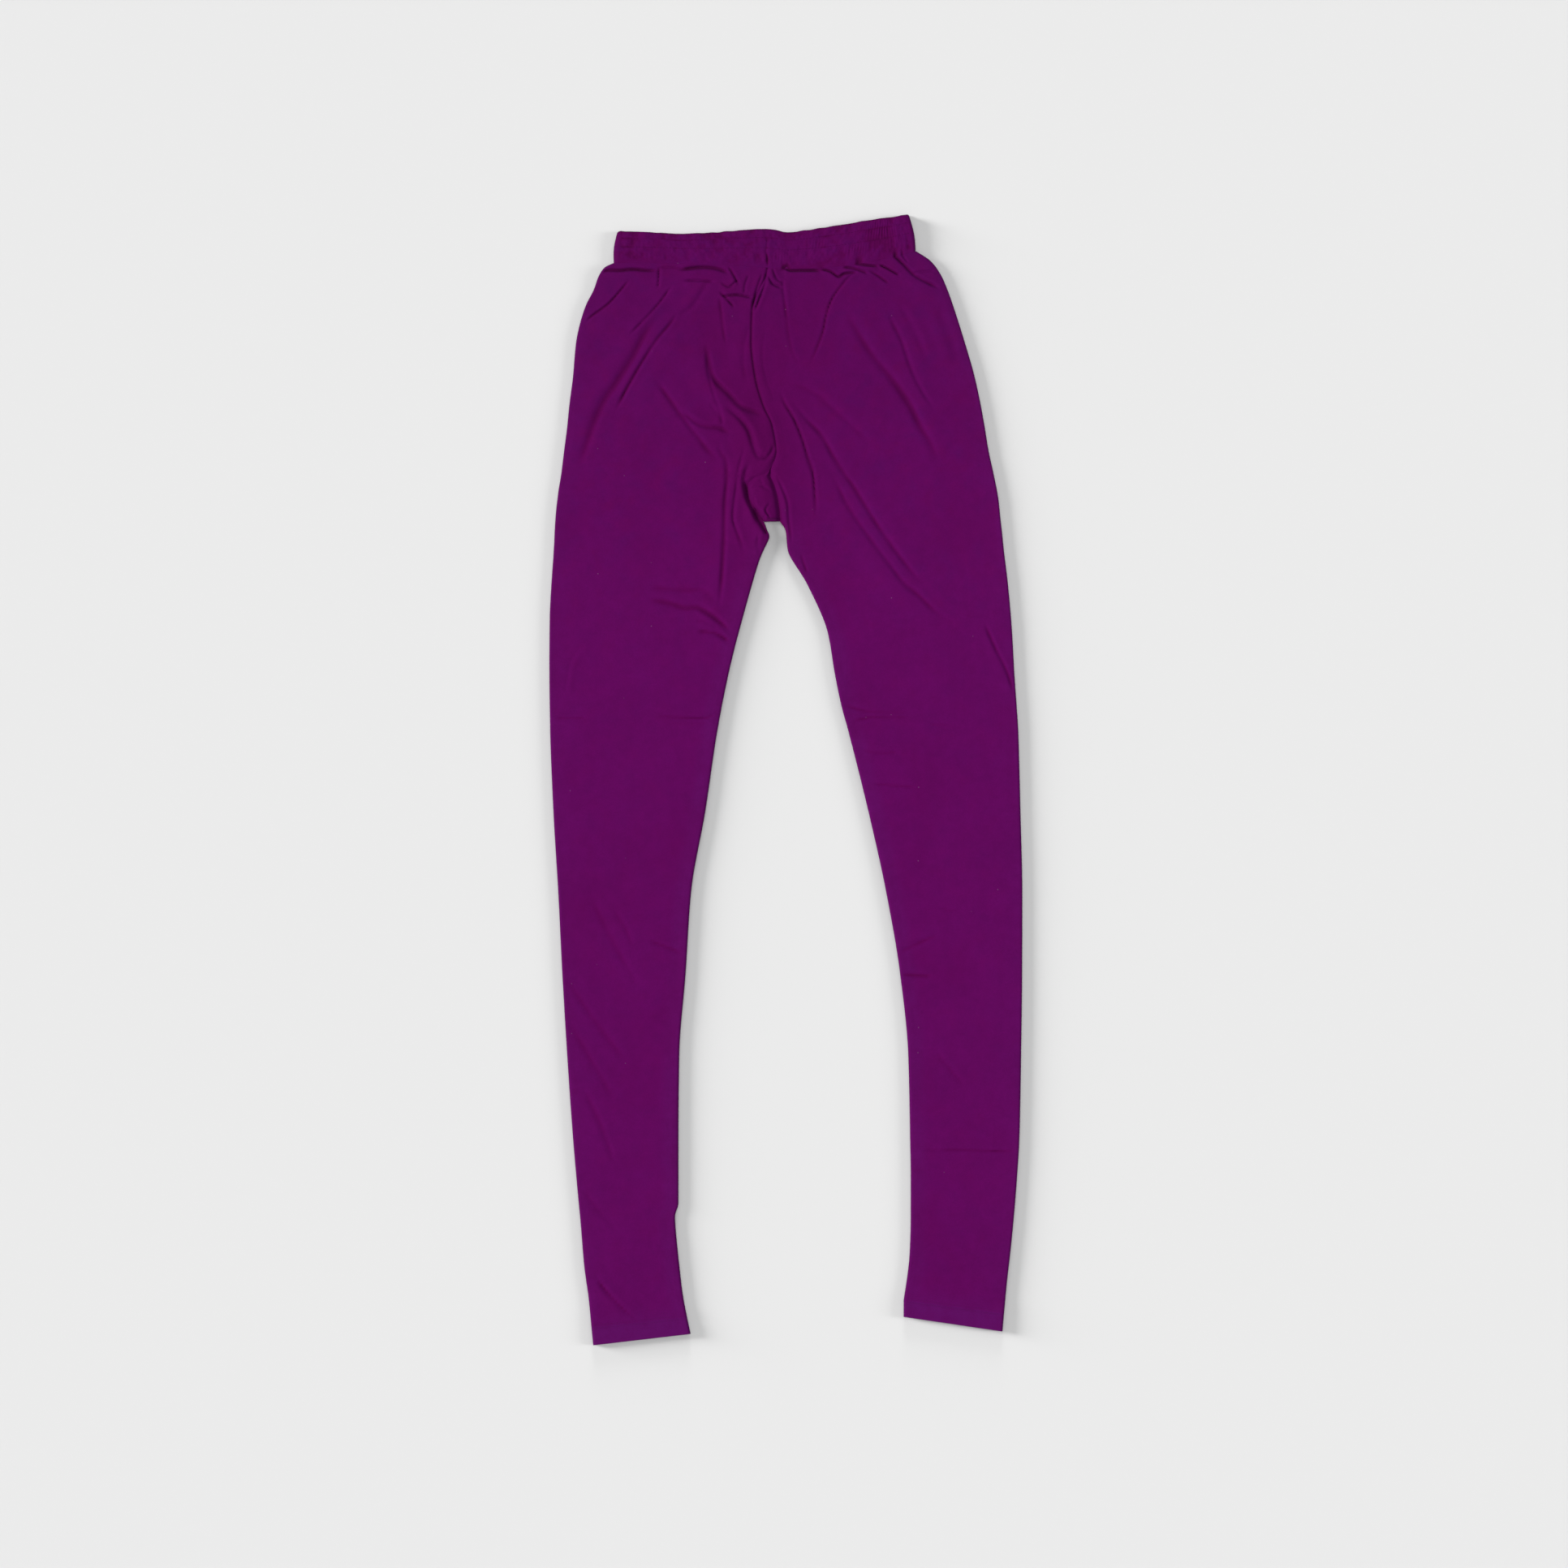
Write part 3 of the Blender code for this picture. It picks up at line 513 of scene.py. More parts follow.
def waist_seam_y(x: Array, bow_share: Array | float = 1.0) -> Array:
    """Y of the waist seam over each X, from the last cut of the body.

    Args:
        x: Places along the seam, in metres.
        bow_share: 1 on the front layer and 0 on the back one, where the seam lies straight.

    Returns:
        The seam's Y, in metres.
    """
    top = SEAM_BODY[-1]
    across_right = (x / MM - top.right_edge_x) / (top.right_x - top.right_edge_x)
    across_left = (x / MM - top.left_edge_x) / (top.left_x - top.left_edge_x)
    right_bow = 4.0 * top.right_bow * bow_share * across_right * (1.0 - across_right)
    left_bow = 4.0 * top.left_bow * bow_share * across_left * (1.0 - across_left)
    right_y = top.right_edge_y + across_right * (top.right_y - top.right_edge_y) + right_bow
    left_y = top.left_edge_y + across_left * (top.left_y - top.left_edge_y) + left_bow
    return np.where(x < top.left_edge_x * MM, right_y, left_y) * MM


@dataclass(frozen=True)
class Swell:
    """Smooth uneven swell, the same each run, for cloth that never lies quite flat."""

    seed: int
    size: int = 97

    def at(self, x: Array, y: Array) -> Array:
        """Swell at places counted in its own cells.

        Args:
            x: Places along the first way.
            y: Places along the second way.

        Returns:
            Numbers from -1 to 1.
        """
        table = np.random.default_rng(self.seed).uniform(-1.0, 1.0, (self.size, self.size))
        column = np.floor(x).astype(int)
        row = np.floor(y).astype(int)
        across = smoothstep(x - column)
        along = smoothstep(y - row)
        low = table[row % self.size, column % self.size] * (1 - across)
        low = low + table[row % self.size, (column + 1) % self.size] * across
        high = table[(row + 1) % self.size, column % self.size] * (1 - across)
        high = high + table[(row + 1) % self.size, (column + 1) % self.size] * across
        return low + (high - low) * along


@dataclass(frozen=True)
class CreaseForm:
    """How a crease's row becomes a shape."""

    bank_place: float = 0.45
    bank_width: float = 0.38
    valley_taper: float = 0.2
    bank_taper: float = 0.32
    path_parts: int = 10
    unevenness: float = 0.28
    uneven_length: float = 14.0 * MM
    shoulder_width: float = 3.6
    shoulder_share: float = 0.26
    depth_share: float = 0.92
    bank_share: float = 0.62
    swell: Swell = Swell(11)

    def line(self, crease: Crease) -> Array:
        """Points along a crease, on a smooth curve through its own.

        Args:
            crease: The crease.

        Returns:
            Plan points, in metres.
        """
        knots = np.array(crease.path, float) * MM
        knots = np.vstack([2 * knots[0] - knots[1], knots, 2 * knots[-1] - knots[-2]])
        t = np.linspace(0.0, 1.0, self.path_parts, endpoint=False)[:, None]
        stretches = []
        for before, start, end, after in zip(knots, knots[1:], knots[2:], knots[3:]):
            bend = 2 * start + (end - before) * t + (2 * before - 5 * start + 4 * end - after) * t**2
            stretches.append(0.5 * (bend + (3 * start - before - 3 * end + after) * t**3))
        return np.vstack([*stretches, knots[-2:-1]])

    def rise(self, crease: Crease, x: Array, y: Array) -> Array:
        """How far a crease lifts the cloth at each place.

        Args:
            crease: The crease.
            x: Places in the plan, in metres.
            y: Places in the plan, in metres.

        Returns:
            Rise in metres, below 0 in the valley.
        """
        line = self.line(crease)
        reach = abs(crease.reach) * MM
        width = crease.width * MM
        shoulder = self.shoulder_width * width
        margin = max(2.2 * shoulder, 1.5 * reach)
        low = line.min(axis=0) - margin
        high = line.max(axis=0) + margin
        near = (x > low[0]) & (x < high[0]) & (y > low[1]) & (y < high[1])
        risen = np.zeros_like(x)
        if not near.any():
            return risen
        starts = line[:-1]
        ways = np.diff(line, axis=0)
        lengths = np.linalg.norm(ways, axis=1)
        ways = ways / lengths[:, None]
        off_x = x[near][:, None] - starts[:, 0]
        off_y = y[near][:, None] - starts[:, 1]
        along = np.clip(off_x * ways[:, 0] + off_y * ways[:, 1], 0.0, lengths)
        apart = (off_x - along * ways[:, 0]) ** 2 + (off_y - along * ways[:, 1]) ** 2
        nearest = np.argmin(apart, axis=1)[:, None]
        side = off_y * ways[:, 0] - off_x * ways[:, 1]
        side = np.take_along_axis(side, nearest, 1)[:, 0]
        before = np.concatenate([[0.0], np.cumsum(lengths)])
        travelled = before[nearest[:, 0]] + np.take_along_axis(along, nearest, 1)[:, 0]
        share = travelled / before[-1]
        cells = travelled / self.uneven_length
        uneven = 1.0 + self.unevenness * self.swell.at(cells, np.full_like(cells, crease.path[0][0]))
        valley_end = smoothstep(share / self.valley_taper) * smoothstep((1 - share) / self.valley_taper)
        bank_end = smoothstep(share / self.bank_taper) * smoothstep((1 - share) / self.bank_taper)
        valley = self.depth_share * crease.depth * MM * valley_end * uneven
        lifted = self.shoulder_share * np.exp(-((side / shoulder) ** 2))
        valley = valley * (np.exp(-((side / width) ** 2)) - lifted)
        towards = side * math.copysign(1.0, crease.reach) / reach
        hump = np.exp(-(((towards - self.bank_place) / self.bank_width) ** 2))
        risen[near] = self.bank_share * crease.bank * MM * bank_end * hump - valley
        return risen


@dataclass(frozen=True)
class Relief:
    """Heights of the two layers over the table they lie on."""

    laid: float = 3.8 * MM
    fold_edge: float = 3.8 * MM
    hem: float = 4.6 * MM
    waist: float = 5.2 * MM
    least: float = 1.95 * MM
    edge_reach: float = 9.0 * MM
    waist_reach: float = 20.0 * MM
    fold_fade: float = 7.0 * MM
    hem_depth: float = 18.0 * MM
    stitch_dip: float = 0.4 * MM
    stitch_width: float = 2.4 * MM
    hem_round: float = 0.7 * MM
    hem_round_reach: float = 1.4 * MM
    back_most: float = 0.5 * MM
    # Painted shade: a soft patch round the crotch, where the creases gather
    drawn_in: tuple[float, float] = (-28.0 * MM, 335.0 * MM)
    drawn_reach: tuple[float, float] = (52.0 * MM, 145.0 * MM)
    painted_crotch_shade: float = 0.3
    slant_y: float = 301.0 * MM
    slant_reach: float = 7.0 * MM
    # A valley this deep takes the full painted shade
    deep: float = 2.5 * MM
    form: CreaseForm = CreaseForm()
    creases: tuple[Crease, ...] = RIGHT_PANEL_CREASES + LEFT_PANEL_CREASES + WAIST_CREASES
    back_creases: tuple[Crease, ...] = BACK_CREASES
    puffs: tuple[Puff, ...] = PUFFS
    slow_swell: Swell = Swell(3)
    quick_swell: Swell = Swell(5)
    back_swell: Swell = Swell(8)

    def level(self, x: Array, y: Array, edge: Array, hem: Array) -> Array:
        """Height of the front layer's face before its creases.

        Args:
            x: Places in the plan, in metres.
            y: Places in the plan, in metres.
            edge: Distance from the nearest folded edge.
            hem: Distance from the hem.

        Returns:
            Heights in metres.
        """
        height = self.laid + (self.fold_edge - self.laid) * np.exp(-edge / self.edge_reach)
        under_seam = np.maximum(waist_seam_y(x) - y, 0.0)
        waist_share = np.exp(-((under_seam / self.waist_reach) ** 2))
        height = height + waist_share * (self.waist - height)
        height = height + self.hem_share(hem) * (self.hem - height)
        return height - self.stitched(hem) - self.rounded(hem)

    def hem_share(self, hem: Array) -> Array:
        """How much of the hem's lift the cloth has at each distance from the hem."""
        return 1.0 - smoothstep((hem - self.hem_depth) / self.hem_depth)

    def stitched(self, hem: Array) -> Array:
        """How far the hem's stitching draws the cloth in."""
        return self.stitch_dip * np.exp(-(((hem - self.hem_depth) / self.stitch_width) ** 2))

    def rounded(self, hem: Array) -> Array:
        """How far the turned edge of the hem rounds off."""
        return self.hem_round * (1.0 - smoothstep(hem / self.hem_round_reach))

    def front(self, x: Array, y: Array, edge: Array, hem: Array) -> Array:
        """How far creases, puffs and swell lift the front layer from its level.

        Args:
            x: Places in the plan, in metres.
            y: Places in the plan, in metres.
            edge: Distance from the nearest folded edge.
            hem: Distance from the hem.

        Returns:
            Rise in metres.
        """
        free = smoothstep(edge / self.fold_fade) * (1.0 - self.hem_share(hem))
        risen = np.zeros_like(x)
        for crease in self.creases:
            risen = risen + self.form.rise(crease, x, y)
        for puff in self.puffs:
            across = (x / MM - puff.x) / puff.reach_x
            along = (y / MM - puff.y) / puff.reach_y
            risen = risen + puff.rise * MM * np.exp(-(across**2 + along**2))
        slow = 0.34 * MM * self.slow_swell.at(x / (34 * MM), y / (62 * MM))
        quick = 0.10 * MM * self.quick_swell.at(x / (9 * MM) + 31.0, y / (13 * MM))
        return free * (risen + slow + quick)

    def smooth_seam(self, y: Array) -> Array:
        """How smoothly the gusset's slanting seam lies at each place along the garment."""
        return 0.8 * np.exp(-(((y - self.slant_y) / self.slant_reach) ** 2))

    def folded(self, points: Array, rise: Array) -> Array:
        """How far each point takes painted shade: in the creases' valleys, and round the crotch.

        Args:
            points: Points of the face.
            rise: How far the creases lift it.

        Returns:
            Numbers from 0 to 1.
        """
        across = (points[..., 0] - self.drawn_in[0]) / self.drawn_reach[0]
        along = (points[..., 1] - self.drawn_in[1]) / self.drawn_reach[1]
        zone = self.painted_crotch_shade * np.exp(-(across**2) - along**2)
        valley = np.clip(-rise / self.deep, 0.0, 1.0)
        return 1.0 - (1.0 - zone) * (1.0 - valley)

    def back(self, x: Array, y: Array, hem: Array) -> Array:
        """How far the back layer's face ripples up off the table.

        Args:
            x: Places in the plan, in metres.
            y: Places in the plan, in metres.
            hem: Distance from the hem.

        Returns:
            Rise in metres, never below 0.
        """
        risen = np.zeros_like(x)
        for crease in self.back_creases:
            risen = risen - self.form.rise(crease, x, y)
        swell = self.back_swell.at(x / (30 * MM), y / (55 * MM))
        risen = risen + 0.3 * MM * np.maximum(swell, 0.0)
        risen = risen * (1.0 - self.hem_share(hem))
        return np.clip(risen, 0.0, self.back_most) + self.stitched(hem) + self.rounded(hem)


def spread(values: Array, steps: int, pick: np.ufunc) -> Array:
    """Lowest or highest value within some steps of each place of a grid.

    Args:
        values: Grid of numbers.
        steps: How many places away to look.
        pick: np.minimum or np.maximum.

    Returns:
        Grid of the same shape.
    """
    for _ in range(steps):
        tall = np.pad(values, ((1, 1), (0, 0)), mode="edge")
        values = pick(values, pick(tall[:-2], tall[2:]))
        wide = np.pad(values, ((0, 0), (1, 1)), mode="edge")
        values = pick(values, pick(wide[:, :-2], wide[:, 2:]))
    return values


@dataclass(frozen=True)
class Wall:
    """Closes a fine face into a thin wall with a coarser face inside.

    Rows before halved_rows keep every second column only, for a stretch with little detail.
    """

    coarse_step: int = 4
    halved_rows: int = 0

    def picks(self, count: int, step: int) -> list[int]:
        """Which rows or columns are kept, at a step and always the last."""
        return [*range(0, count - 1, step), count - 1]

    def inner_points(self, level: Array, rise: Array, thickness: Array) -> Array:
        """Points of the inner face, clear of every valley in the outer one.

        Args:
            level: Grid of points of the outer face before its creases.
            rise: How far the creases lift each point.
            thickness: Wall of each point.

        Returns:
            Grid of points as fine as the outer one.
        """
        normals = grid_normals(level)
        low = spread(rise, self.coarse_step, np.minimum)
        high = spread(rise, self.coarse_step, np.maximum)
        inner = level - normals * thickness[..., None]
        inner[..., 2] += np.where(normals[..., 2] > 0, low, high)
        return inner

    def rim(self, fine: list[int], coarse: list[int], picks: list[int], flipped: bool) -> list[list[int]]:
        """Triangles between a fine edge and the coarse edge behind it.

        Args:
            fine: Vertex numbers along the fine edge.
            coarse: Vertex numbers along the coarse edge.
            picks: Which places of the fine edge the coarse one has.
            flipped: Whether the faces turn the other way.

        Returns:
            Lists of vertex numbers.
        """
        faces = []
        for index in range(len(picks) - 1):
            start, end = picks[index], picks[index + 1]
            middle = (start + end) // 2
            for place in range(start, end):
                behind = coarse[index] if place < middle else coarse[index + 1]
                faces.append([fine[place], fine[place + 1], behind])
            faces.append([fine[middle], coarse[index + 1], coarse[index]])
        return [face[::-1] for face in faces] if flipped else faces

    def close(
        self, outer: Array, inner: Array, tone: Array, flipped: bool
    ) -> tuple[Array, list[list[int]], Array]:
        """Points and faces of the closed wall.

        Args:
            outer: Grid of points of the outer face.
            inner: Grid of points of the inner face, just as fine.
            tone: Grid of the two tones of the outer face.
            flipped: Whether the outer face's quads turn the other way.

        Returns:
            All points, the faces as lists of vertex numbers, and each point's two tones.
        """
        rows, columns = outer.shape[:2]
        row_picks = self.picks(rows, self.coarse_step)
        column_picks = self.picks(columns, self.coarse_step)
        coarse = inner[np.ix_(row_picks, column_picks)]
        fine_ids = np.arange(rows * columns).reshape(rows, columns)
        coarse_ids = rows * columns + np.arange(coarse.shape[0] * coarse.shape[1])
        coarse_ids = coarse_ids.reshape(coarse.shape[:2])
        faces = quads(fine_ids[self.halved_rows :], flipped)
        faces += quads(coarse_ids, not flipped)
        foot, foot_picks = fine_ids[0], column_picks
        if self.halved_rows:
            halves = self.picks(columns, 2)
            halved = fine_ids[: self.halved_rows, halves]
            faces += quads(halved, flipped)
            above = fine_ids[self.halved_rows].tolist()
            faces += self.rim(above, halved[-1].tolist(), halves, not flipped)
            foot, foot_picks = halved[0], [halves.index(pick) for pick in column_picks]
        edges = (
            (foot, coarse_ids[0], foot_picks, not flipped),
            (fine_ids[-1], coarse_ids[-1], column_picks, flipped),
            (fine_ids[:, 0], coarse_ids[:, 0], row_picks, flipped),
            (fine_ids[:, -1], coarse_ids[:, -1], row_picks, not flipped),
        )
        for fine, behind, picks, turned in edges:
            faces += self.rim(fine.tolist(), behind.tolist(), picks, turned)
        points = np.vstack([outer.reshape(-1, 3), coarse.reshape(-1, 3)])
        tones = np.vstack([tone.reshape(-1, 2), tone[np.ix_(row_picks, column_picks)].reshape(-1, 2)])
        used = np.unique(np.concatenate([np.array(face) for face in faces]))
        renumbered = np.zeros(len(points), int)
        renumbered[used] = np.arange(len(used))
        renumbered = renumbered.tolist()
        return points[used], [[renumbered[corner] for corner in face] for face in faces], tones[used]


def quads(ids: Array, flipped: bool) -> list[list[int]]:
    """Quads over a grid of vertex numbers.

    Args:
        ids: Rows by columns of vertex numbers.
        flipped: Whether the quads turn the other way.

    Returns:
        Lists of four vertex numbers.
    """
    corners = [ids[:-1, :-1], ids[:-1, 1:], ids[1:, 1:], ids[1:, :-1]]
    stacked = np.stack(corners[::-1] if flipped else corners, axis=-1)
    return stacked.reshape(-1, 4).tolist()


def tone_cloth(piece: bpy.types.Object, tones: Array) -> None:
    """Marks how far each vertex takes the pale tone of the edges, and how far it takes painted shade in the
    creases and round the crotch.
    """
    for name, values in zip((EDGE_TONE, PAINTED_SHADE_ATTRIBUTE), tones.T):
        attribute = piece.data.attributes.new(name, "FLOAT", "POINT")
        attribute.data.foreach_set("value", values.astype(np.float32))


def mesh_piece(
    name: str, points: Array, faces: list[list[int]], material: bpy.types.Material
) -> bpy.types.Object:
    """A smooth mesh object in the scene.

    Args:
        name: Name of the object and its mesh.
        points: Vertices, in metres.
        faces: Lists of vertex numbers.
        material: Its finish.

    Returns:
        The object.
    """
    mesh = bpy.data.meshes.new(name)
    mesh.from_pydata(points.reshape(-1, 3).tolist(), [], faces)
    mesh.update()
    mesh.shade_smooth()
    mesh.set_sharp_from_angle(angle=SHARP_FROM)
    mesh.materials.append(material)
    piece = bpy.data.objects.new(name, mesh)
    bpy.context.scene.collection.objects.link(piece)
    LOG.info("%s: %d faces", name, len(mesh.polygons))
    return piece


class NodeBench:
    """Short words for adding shader nodes to one material."""

    def __init__(self, name: str) -> None:
        """Starts a material with a bare Principled shader."""
        self.material = bpy.data.materials.new(name)
        self.material.use_nodes = True
        self.tree = self.material.node_tree
        self.shader = self.tree.nodes["Principled BSDF"]

    def add(self, kind: str, **settings: object) -> bpy.types.Node:
        """A new node with its settings.

        Args:
            kind: The node's type name without its ShaderNode prefix.
            **settings: Properties of the node.

        Returns:
            The node.
        """
        node = self.tree.nodes.new(f"ShaderNode{kind}")
        for key, value in settings.items():
            setattr(node, key, value)
        return node

    def math(
        self, operation: str, first: object, second: object = 0.0, third: object = 0.0
    ) -> bpy.types.NodeSocket:
        """Result of a Math node.

        Args:
            operation: Name of the operation.
            first: A socket or a number.
            second: A socket or a number.
            third: A socket or a number.

        Returns:
            The node's output.
        """
        node = self.add("Math", operation=operation)
        for socket, value in zip(node.inputs, (first, second, third)):
            self.feed(socket, value)
        return node.outputs[0]

    def feed(self, socket: bpy.types.NodeSocket, value: object) -> None:
        """Links a socket to another, or sets its number."""
        if isinstance(value, bpy.types.NodeSocket):
            self.tree.links.new(value, socket)
        else:
            socket.default_value = value

    def noise(
        self, vector: bpy.types.NodeSocket, scale: float, detail: float = 2.0
    ) -> bpy.types.NodeSocket:
        """Noise over the piece.

        Args:
            vector: Where the noise is read.
            scale: Its cells for each metre.
            detail: Its octaves.

        Returns:
            The noise from 0 to 1.
        """
        node = self.add("TexNoise")
        self.feed(node.inputs["Vector"], vector)
        node.inputs["Scale"].default_value = scale
        node.inputs["Detail"].default_value = detail
        return node.outputs["Fac"]

    def mix(self, share: object, first: object, second: object) -> bpy.types.NodeSocket:
        """One colour turned into another.

        Args:
            share: How much of the second.
            first: A colour or a socket.
            second: A colour or a socket.

        Returns:
            The mixed colour.
        """
        node = self.add("Mix", data_type="RGBA")
        self.feed(node.inputs[0], share)
        self.feed(node.inputs[6], first)
        self.feed(node.inputs[7], second)
        return node.outputs[2]

    def ranged(
        self, value: object, low: float, high: float, to_low: float = 0.0, to_high: float = 1.0
    ) -> bpy.types.NodeSocket:
        """A number moved from one range to another.

        Args:
            value: A socket.
            low: Start of its range.
            high: End of its range.
            to_low: Start of the new range.
            to_high: End of the new range.

        Returns:
            The moved number.
        """
        node = self.add("MapRange")
        for socket, number in zip(node.inputs, (value, low, high, to_low, to_high)):
            self.feed(socket, number)
        return node.outputs[0]


@dataclass(frozen=True)
class JerseyFinish:
    """Dull plum jersey: fine wales, cool and warm drifts of dye, a tint along the edges, painted shade in
    the creases, round the crotch and towards the waist, and a few specks of lint.
    """

    name: str
    dye: Colour = (0.1165, 0.0021, 0.1060)
    cool_dye: Colour = (0.1040, 0.0026, 0.1070)
    warm_dye: Colour = (0.1240, 0.0019, 0.0980)
    # Bluer and paler along the inseam, the outer fold and the hem
    edge_tint: Colour = (0.1100, 0.0044, 0.1190)
    # Painted shade in and beside the creases and round the crotch: redder beside them, darker in their
    # valleys, over the two spans below
    painted_flank_shade: Colour = (0.1130, 0.0013, 0.0890)
    painted_crease_shade: Colour = (0.0800, 0.0013, 0.0580)
    flank: tuple[float, float] = (0.0, 0.36)
    valley: tuple[float, float] = (0.2, 1.0)
    # Painted shade: the cloth darkens over this span of Y towards the waist
    painted_waist_shade_span: tuple[float, float] = (0.20, 0.54)
    painted_waist_shade: float = 0.86
    livelier: tuple[float, float] = (0.10, 0.30)
    drifts: tuple[float, float] = (0.32, 0.85)
    edge_cells: float = 110.0
    drift_cells: float = 60.0
    patch_cells: float = 110.0
    slow_cells: float = 16.0
    yarn_cells: float = 900.0
    lint: Colour = (0.36, 0.20, 0.36)
    wale: float = 0.72 * MM
    course: float = 0.56 * MM
    relief: float = 0.05 * MM
    roughness: float = 0.82
    sheen: float = 0.05
    sheen_roughness: float = 0.45
    sheen_tint: Colour = (0.62, 0.24, 0.72)
    specular: float = 0.03
    lint_cells: float = 38.0
    lint_from: float = 0.91
    cool_from: tuple[float, float] = (0.53, 0.72)
    warm_from: tuple[float, float] = (0.46, 0.28)
    noise_span: tuple[float, float] = (0.3, 0.7)
    edge_uneven: tuple[float, float] = (0.55, 1.25)
    patch_tones: tuple[float, float] = (0.96, 1.04)
    slow_tones: tuple[float, float] = (0.975, 1.025)
    yarn_tones: tuple[float, float] = (0.94, 1.06)
    speck_rim: tuple[float, float] = (0.021, 0.010)
    lint_clear: tuple[float, float] = (0.08, 0.45)
    chevron_lean: float = 1.3
    loop_height: float = 0.28
    column_height: float = -0.4
    fuzz_cells: float = 2600.0
    fuzz_height: float = 0.5

    def material(self) -> bpy.types.Material:
        """Builds the material.

        Returns:
            The material.
        """
        bench = NodeBench(self.name)
        place = bench.add("TexCoord").outputs["Object"]
        bench.feed(bench.shader.inputs["Base Color"], self.colour(bench, place))
        bench.shader.inputs["Roughness"].default_value = self.roughness
        bench.shader.inputs["Specular IOR Level"].default_value = self.specular
        bench.shader.inputs["Sheen Weight"].default_value = self.sheen
        bench.shader.inputs["Sheen Roughness"].default_value = self.sheen_roughness
        bench.shader.inputs["Sheen Tint"].default_value = (*self.sheen_tint, 1.0)
        bump = bench.add("Bump")
        bump.inputs["Strength"].default_value = 1.0
        bump.inputs["Distance"].default_value = self.relief
        bench.feed(bump.inputs["Height"], self.stitches(bench, place))
        bench.feed(bench.shader.inputs["Normal"], bump.outputs["Normal"])
        return bench.material

    def colour(self, bench: NodeBench, place: bpy.types.NodeSocket) -> bpy.types.NodeSocket:
        """Dye with its drifts, the edges' tint, painted shade in the creases, round the crotch and towards
        the waist, its yarn-to-yarn tone and the lint on it.

        Args:
            bench: Where the nodes go.
            place: Coordinates on the piece.

        Returns:
            The colour.
        """
        split = bench.add("SeparateXYZ")
        bench.feed(split.inputs[0], place)
        drift = bench.noise(place, self.drift_cells, 3.0)
        lively = bench.ranged(split.outputs[1], *self.livelier, *self.drifts)
        cool = bench.math("MULTIPLY", bench.ranged(drift, *self.cool_from), lively)
        warm = bench.math("MULTIPLY", bench.ranged(drift, *self.warm_from), lively)
        dyed = bench.mix(cool, (*self.dye, 1.0), (*self.cool_dye, 1.0))
        dyed = bench.mix(warm, dyed, (*self.warm_dye, 1.0))
        edge = bench.add("Attribute", attribute_name=EDGE_TONE).outputs["Fac"]
        uneven = bench.ranged(bench.noise(place, self.edge_cells, 3.0), *self.noise_span, *self.edge_uneven)
        dyed = bench.mix(bench.math("MULTIPLY", edge, uneven), dyed, (*self.edge_tint, 1.0))
        # Painted shade: redder beside the creases and round the crotch, darker in their valleys
        fold = bench.add("Attribute", attribute_name=PAINTED_SHADE_ATTRIBUTE).outputs["Fac"]
        dyed = bench.mix(bench.ranged(fold, *self.flank), dyed, (*self.painted_flank_shade, 1.0))
        dyed = bench.mix(bench.ranged(fold, *self.valley), dyed, (*self.painted_crease_shade, 1.0))
        # Painted shade: darker towards the waist
        depth = bench.ranged(split.outputs[1], *self.painted_waist_shade_span, 1.0, self.painted_waist_shade)
        patch = bench.ranged(bench.noise(place, self.patch_cells, 4.0), *self.noise_span, *self.patch_tones)
        slow = bench.ranged(bench.noise(place, self.slow_cells, 1.0), *self.noise_span, *self.slow_tones)
        patch = bench.math("MULTIPLY", patch, slow)
        yarn = bench.ranged(bench.noise(place, self.yarn_cells, 2.0), *self.noise_span, *self.yarn_tones)
        tone = bench.math("MULTIPLY", bench.math("MULTIPLY", depth, patch), yarn)
        toned = bench.add("VectorMath", operation="SCALE")
        bench.feed(toned.inputs[0], dyed)
        bench.feed(toned.inputs["Scale"], tone)
        return bench.mix(self.lint_share(bench, place), toned.outputs[0], (*self.lint, 1.0))

    def lint_share(self, bench: NodeBench, place: bpy.types.NodeSocket) -> bpy.types.NodeSocket:
        """Where a speck of lint lies.

        Args:
            bench: Where the nodes go.
            place: Coordinates on the piece.

        Returns:
            1 on a speck and 0 elsewhere.
        """
        cells = bench.add("TexVoronoi", voronoi_dimensions="2D")
        bench.feed(cells.inputs["Vector"], place)
        cells.inputs["Scale"].default_value = self.lint_cells
        speck = bench.ranged(cells.outputs["Distance"], *self.speck_rim)
        split = bench.add("SeparateColor")
        bench.feed(split.inputs[0], cells.outputs["Color"])
        chosen = bench.math("GREATER_THAN", split.outputs[0], self.lint_from)
        clear = bench.ranged(split.outputs[1], 0.0, 1.0, *self.lint_clear)
        return bench.math("MULTIPLY", bench.math("MULTIPLY", speck, chosen), clear)

    def stitches(self, bench: NodeBench, place: bpy.types.NodeSocket) -> bpy.types.NodeSocket:
        """Height of the knit: a column of chevrons for each wale.

        Args:
            bench: Where the nodes go.
            place: Coordinates on the piece.

        Returns:
            The height from 0 to 1.
        """
        split = bench.add("SeparateXYZ")
        bench.feed(split.inputs[0], place)
        across = bench.math("MULTIPLY", split.outputs[0], 1.0 / self.wale)
        along = bench.math("MULTIPLY", split.outputs[1], 1.0 / self.course)
        off_middle = bench.math("ABSOLUTE", bench.math("SUBTRACT", bench.math("FRACT", across), 0.5))
        lean = bench.math("MULTIPLY_ADD", off_middle, self.chevron_lean, along)
        loop = bench.math("SINE", bench.math("MULTIPLY", lean, 2 * math.pi))
        column = bench.math("COSINE", bench.math("MULTIPLY", off_middle, 2 * math.pi))
        knit = bench.math(
            "MULTIPLY_ADD", loop, self.loop_height, bench.math("MULTIPLY", column, self.column_height)
        )
        fuzz = bench.noise(place, self.fuzz_cells, 2.0)
        return bench.math("MULTIPLY_ADD", fuzz, self.fuzz_height, knit)


